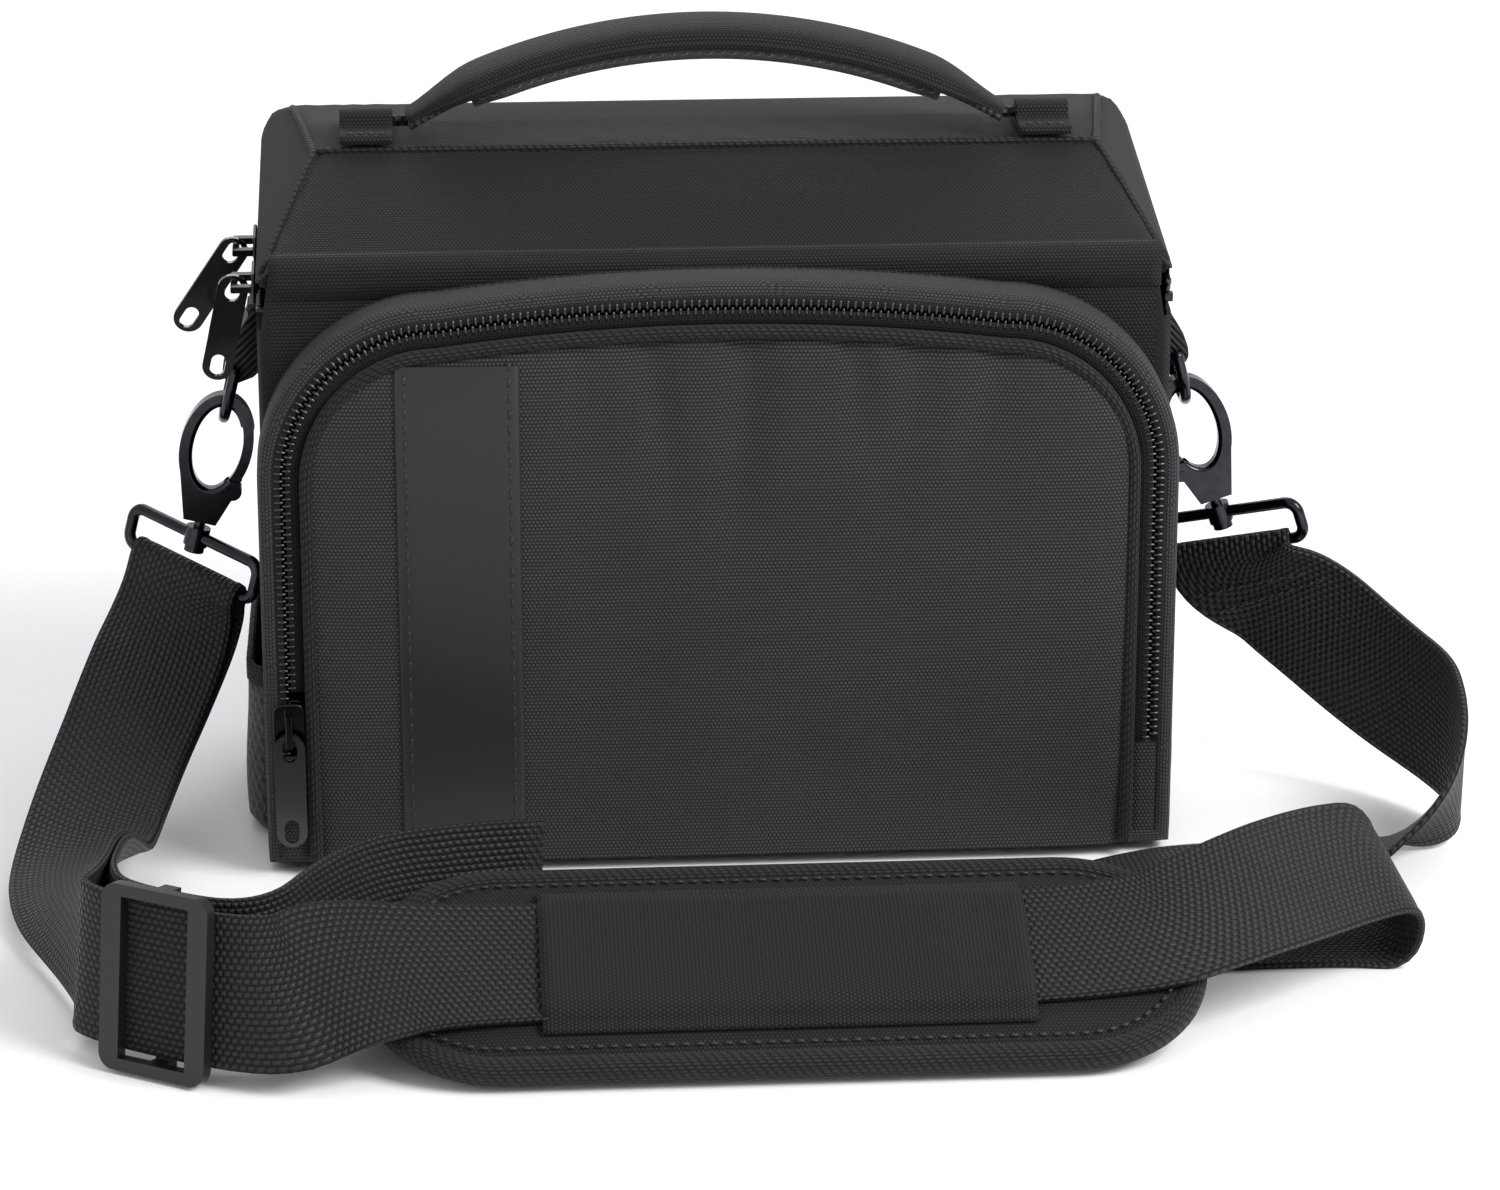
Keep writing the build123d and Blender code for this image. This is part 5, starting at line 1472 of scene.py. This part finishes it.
# ------------------------------------------------------------------ handle, side pockets, tabs
@dataclass
class CarryHandle:
    """Padded carry handle: cloth over foam, mesh beneath, webbing core, and its two sewn tabs."""

    y: float = 10.0
    axis_z: float = 187.0
    half_span: float = 80.0
    top: float = 209.0
    grip_half: float = 62.0
    webbing: Flat = (17.0, 1.6)
    padding: Flat = (24.5, 4.16)
    tab: Flat = (83.0, 97.0)      # from the bag's middle to the tab's inner and outer edges

    def arch(self, lift: float, half: float, steps: int = 60) -> list[Vector]:
        """A line along the handle's arch, lifted off its middle line."""
        rise = self.top - self.axis_z
        radius = (self.half_span ** 2 + rise ** 2) / (2 * rise)
        centre = self.top - radius
        reach = math.asin(min(half / radius, 1))
        return [Vector(((radius + lift) * math.sin(a), self.y, centre + (radius + lift) * math.cos(a)))
                for a in spread(-reach, reach, steps)]

    def girth(self, share: float) -> Flat:
        """Scale of the cover's section: full at the grip, gathered towards both ends."""
        end = (self.half_span - self.grip_half + 3) / (2 * self.half_span)
        full = smooth_step(0.0, end, min(share, 1 - share))
        fold = 0.04 * math.sin(share * 260) * (1 - full)
        return 0.56 + 0.44 * full + fold, 0.45 + 0.55 * full

    def build(self) -> None:
        """Build the handle and its tabs."""
        # The cover's section: a domed top with rounded sides that turn under the padding.
        cover = [(13.0 * math.cos(a), 0.4 + 4.9 * max(math.sin(a), 0) ** 0.62) for a in
                 (math.radians(d) for d in spread(0, 180, 16))]
        cover += [(-13.3, -0.4), (-12.8, -1.4), (-9.5, -1.0), (9.5, -1.0), (12.8, -1.4), (13.3, -0.4)]
        line = self.arch(0.0, self.half_span - 1.5, 90)
        piece = sweep("handle_cover", line, cover, Vector((0, -1, 0)), OXFORD_DARK, scale=self.girth)
        dress(piece, Slot.CANVAS, "handle", "handle_grip", "handle_ends")
        wide, tall = self.padding
        squash = 0.8                  # its edges are flatter than round
        pad = [(a, b * squash) for a, b in rounded_bar(wide, tall / squash, 2.2, 4)]
        mesh = sweep("handle_mesh_padding", self.arch(-2.4, self.grip_half + 1), pad, Vector((0, -1, 0)),
                     MESH,
                     scale=lambda s: (0.65 + 0.35 * smooth_step(0, 0.08, min(s, 1 - s)), 1.0))
        dress(mesh, Slot.MESH, "handle", "handle_mesh")
        core = sweep("handle_webbing_core", self.arch(-1.0, self.half_span - 1),
                     rounded_bar(*self.webbing, 0.7), Vector((0, -1, 0)), WEBBING)
        dress(core, Slot.WEBBING, "handle", "handle_webbing")
        for side, name in ENDS:
            self.rolled_end(side, name)
        self.tabs()

    def rolled_end(self, side: int, name: str) -> None:
        """Webbing rolled up inside the tab, and the rows of stitches where the grip's cover ends.

        Args:
            side: -1 at the left and 1 at the right.
            name: Its name in the pieces' names.
        """
        inner, outer = self.tab
        roll = [Vector((side * x, self.y, self.axis_z)) for x in spread(inner - 6.5, outer - 1.0, 8)]
        dress(sweep(f"handle_roll_{name}", roll, round_section(1.5, 12), Vector((0, 1, 0)), WEBBING),
              Slot.WEBBING, "handle")
        start, end = self.grip_half - 1, self.grip_half + 6
        seam = [p for p in self.arch(3.4, end, 120) if start < side * p.x < end]
        for row, across in enumerate((-5.5, 0.0, 5.5)):
            ends = [p + Vector((0, across, 0.5)) for p in (seam[0], seam[-1])]
            sewn = stitches(f"handle_end_stitches_{name}_{row}", ends, Vector((0, 0, 1)), 2.6, 1.8)
            dress(sewn, Slot.CANVAS, "handle")

    def tabs(self) -> None:
        """Cloth tabs folded over the rolled ends and sewn to the lid."""
        inner, outer = self.tab
        # Across the tab: sewn-down flank, then the round of the cloth over the rolled webbing.
        outline = [(12.0, -3.7), (12.0, -2.3), (11.4, -1.6), (8.0, -1.3), (4.6, -0.9)]
        outline += [(3.5 * math.cos(a), 3.5 * math.sin(a)) for a in spread(0, math.pi, 10)]
        outline += [(-a, b) for a, b in reversed(outline[:5])]
        for side, name in ENDS:
            reach = (inner, inner + 0.4, *spread(inner + 2, outer - 2, 4), outer - 0.4, outer)
            path = [Vector((side * x, self.y, self.axis_z)) for x in reach]
            tab = sweep(f"handle_tab_cloth_{name}", path, outline, Vector((0, -side, 0)), OXFORD_DARK,
                        scale=lambda s: (0.97 + 0.03 * smooth_step(0, 0.1, min(s, 1 - s)),) * 2)
            dress(tab, Slot.CANVAS, "lid", *(("handle_tabs",) if side < 0 else ()))
            for flank in (-1, 1):
                line = [Vector((side * x, self.y + flank * 9.5, self.axis_z - 1.3))
                        for x in (inner + 1.5, outer - 1.5)]
                dress(stitches(f"handle_tab_stitches_{name}_{'front' if flank < 0 else 'back'}", line,
                               Vector((0, 0, 1)), 2.6, 1.8), Slot.CANVAS, "lid")


@dataclass
class SidePockets:
    """Elastic mesh pockets and the webbing tabs of the D-rings, on both sides."""

    out: float = 6.3
    front: float = -30.0
    back: float = 46.0
    low: float = 2.0
    high: float = 48.0
    binding: float = 6.0
    ring_bar: Flat = (126.37, 122.55)      # the D-ring's upper bar, out from the middle and up
    tab_y: float = 5.0
    tab_half: float = 9.0

    def line(self, side: int, z: float, out: float) -> list[Vector]:
        """The pocket's wall at one height, from its front seam to its back seam."""
        wall = HALF_WIDTH + 0.15
        points = []
        for y in spread(self.front, self.back, 40):
            share = (y - self.front) / (self.back - self.front)
            swell = min(math.sin(math.pi * share), 0.45) / 0.45
            points.append(Vector((side * (wall + out * math.sin(swell * math.pi / 2) ** 0.8), y, z)))
        return points

    def build(self) -> None:
        """Build both sides."""
        for side, end in ENDS:
            top = self.high - self.binding
            rows = [self.line(side, self.low + 0.2, 0.4), self.line(side, self.low + 0.5, self.out * 0.7)]
            rows += [self.line(side, z, self.out * (0.9 + 0.1 * math.sin(z / 9)))
                     for z in spread(self.low + 2.5, top + 1, 12)]
            mesh = grid(f"side_mesh_{end}", rows, MESH, thick=0.7)
            dress(mesh, Slot.MESH, "bag", f"mesh_pocket_{end}")
            band = [p + Vector((side * 0.1, 0, 0.25 * math.sin(p.y * 1.3)))
                    for p in self.line(side, top + 2.8, self.out - 1.2)]
            bound = sweep(f"side_mesh_elastic_{end}", band, rounded_bar(5.8, 1.9, 0.8), Vector((0, 0, 1)),
                          TWILL)
            dress(bound, Slot.BINDING, "bag", f"mesh_binding_{end}")
            self.ring_tab(side, end)

    def ring_tab(self, side: int, end: str) -> None:
        """Webbing folded round the D-ring's bar and sewn to the side.

        Args:
            side: -1 at the left and 1 at the right.
            end: Its name in the node's name.
        """
        wall, (bar_x, bar_z) = HALF_WIDTH + 0.1, self.ring_bar
        outline = [(wall, bar_z + 19), (wall + 1.6, bar_z + 19.1), (wall + 3.1, bar_z + 18.2)]
        outline += [(wall + 3.4, bar_z + 15)]
        outline += [(bar_x + 1.6, bar_z + 6), (bar_x + 3.0, bar_z + 2.2)]
        outline += [(bar_x + 3.25 * math.cos(a), bar_z + 3.25 * math.sin(a))
                    for a in (math.radians(d) for d in spread(10, -120, 9))]
        outline += [(wall + 2.4, bar_z - 1.6), (wall, bar_z + 0.6)]
        section = [(side * x, z) for x, z in outline]
        half = self.tab_half
        across = (-half, -half + 0.3, *spread(-half + 1.5, half - 1.5, 4), half - 0.3, half)
        depths = [self.tab_y + y for y in across]
        rows = [[Vector((x, y, z)) for x, z in section] for y in depths]
        for i in (0, -1):
            rows[i] = [p.lerp(Vector((side * (HALF_WIDTH + 3), p.y, bar_z + 6)), 0.03) for p in rows[i]]
        piece = grid(f"ring_tab_webbing_{end}", rows, WEBBING, closed=True, caps=(0, len(rows) - 1),
                     place=lambda p: (p.z + abs(p.x), p.y))
        dress(piece, Slot.WEBBING, "bag", f"ring_tab_{end}")
        for row, z in enumerate((bar_z + 16.4, bar_z + 9.5)):
            x = side * (wall + (3.45 if row == 0 else 5.9))
            line = [Vector((x, self.tab_y + y, z)) for y in (-half + 1.5, half - 1.5)]
            dress(stitches(f"ring_tab_stitches_{end}_{row}", line, Vector((side, 0, 0)), 2.6, 1.8),
                  Slot.WEBBING, "bag")


# ------------------------------------------------------------------ hardware and stage
@dataclass
class Hardware:
    """Fittings kept as the frame has them, given their real finishes."""

    finishes: dict[str, Finish] = field(default_factory=lambda: {
        "slider": BLACK_NICKEL, "pull": BLACK_ENAMEL, "d_ring": BLACK_NICKEL, "hook": BLACK_NICKEL,
        "gate": BLACK_NICKEL, "swivel_post": BLACK_NICKEL, "strap_ring": BLACK_NICKEL,
        "tri_glide": ACETAL, "bottom_board": BOARD, "zip_end_stops": BLACK_NICKEL})

    def build(self) -> None:
        """Give every kept fitting its finish."""
        for name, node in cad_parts.items():
            kind = next((kind for kind in self.finishes if name.startswith(kind)), None)
            if kind:
                material = self.finishes[kind].material()
                node.data.materials.clear()
                node.data.materials.append(material)
                log.info("%s: %s", name, material.name)


@dataclass
class Studio:
    """Pale floor, soft lights and the camera."""

    azimuth: float = -4.0
    elevation: float = 18.0
    distance: float = 1.265
    target: Vector = field(default_factory=lambda: Vector((0.007, -0.062, 0.076)))
    lens: float = 117.0
    # Name, place, size, power in watts and the point that it faces.
    lamps: tuple[tuple, ...] = (("key", (0.95, -0.80, 1.05), 0.7, 26.0, (0, -0.03, 0.10)),
                                ("fill", (-1.1, -0.9, 0.5), 0.8, 2.0, (0, -0.05, 0.08)),
                                ("back", (-0.1, 1.2, 1.3), 1.2, 8.0, (0, 0, 0.12)))

    def build(self) -> None:
        """Build the stage round the bag."""
        a, e = math.radians(self.azimuth), math.radians(self.elevation)
        back = Vector((math.sin(a) * math.cos(e), -math.cos(a) * math.cos(e), math.sin(e)))
        camera = bpy.data.objects.new("camera", bpy.data.cameras.new("camera"))
        camera.data.lens = self.lens
        camera.data.sensor_width = 36.0
        camera.location = self.target + back * self.distance
        camera.rotation_mode = "QUATERNION"
        camera.rotation_quaternion = (-back).to_track_quat("-Z", "Y")
        bpy.context.scene.collection.objects.link(camera)
        bpy.context.scene.camera = camera
        self.floor()
        for name, place, size, power, aim in self.lamps:
            light = bpy.data.lights.new(name, "AREA")
            light.size, light.energy = size, power
            lamp = bpy.data.objects.new(name, light)
            lamp.location = place
            lamp.rotation_mode = "QUATERNION"
            lamp.rotation_quaternion = (Vector(aim) - Vector(place)).to_track_quat("-Z", "Y")
            bpy.context.scene.collection.objects.link(lamp)
        world = bpy.data.worlds.new("studio")
        world.use_nodes = True
        backdrop = world.node_tree.nodes["Background"]
        backdrop.inputs["Color"].default_value = linear("fbfbfd")
        backdrop.inputs["Strength"].default_value = 0.8
        bpy.context.scene.world = world
        bpy.context.scene.view_settings.view_transform = "Standard"

    def floor(self) -> None:
        """Pale seamless floor."""
        rows = [[Vector((x, y, -0.05)) for x in spread(-6000, 6000, 8)] for y in spread(-6000, 6000, 8)]
        floor = grid("floor", rows, Grained("floor_paper", "f4f4f6", "eeeef0", 3.0, 0.01, 0.8, 0.05))


def main() -> None:
    """Build the stage, the strap, the bag and its fittings."""
    logging.basicConfig(level=logging.INFO, format="%(name)s %(message)s")
    Studio().build()
    ShoulderStrap().build()
    Tub().build()
    Lid().build()
    winder = MainZip()
    winder.build()
    FrontPocket().build(winder)
    CarryHandle().build()
    SidePockets().build()
    Hardware().build()
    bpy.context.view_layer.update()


if __name__ == "__main__":
    main()
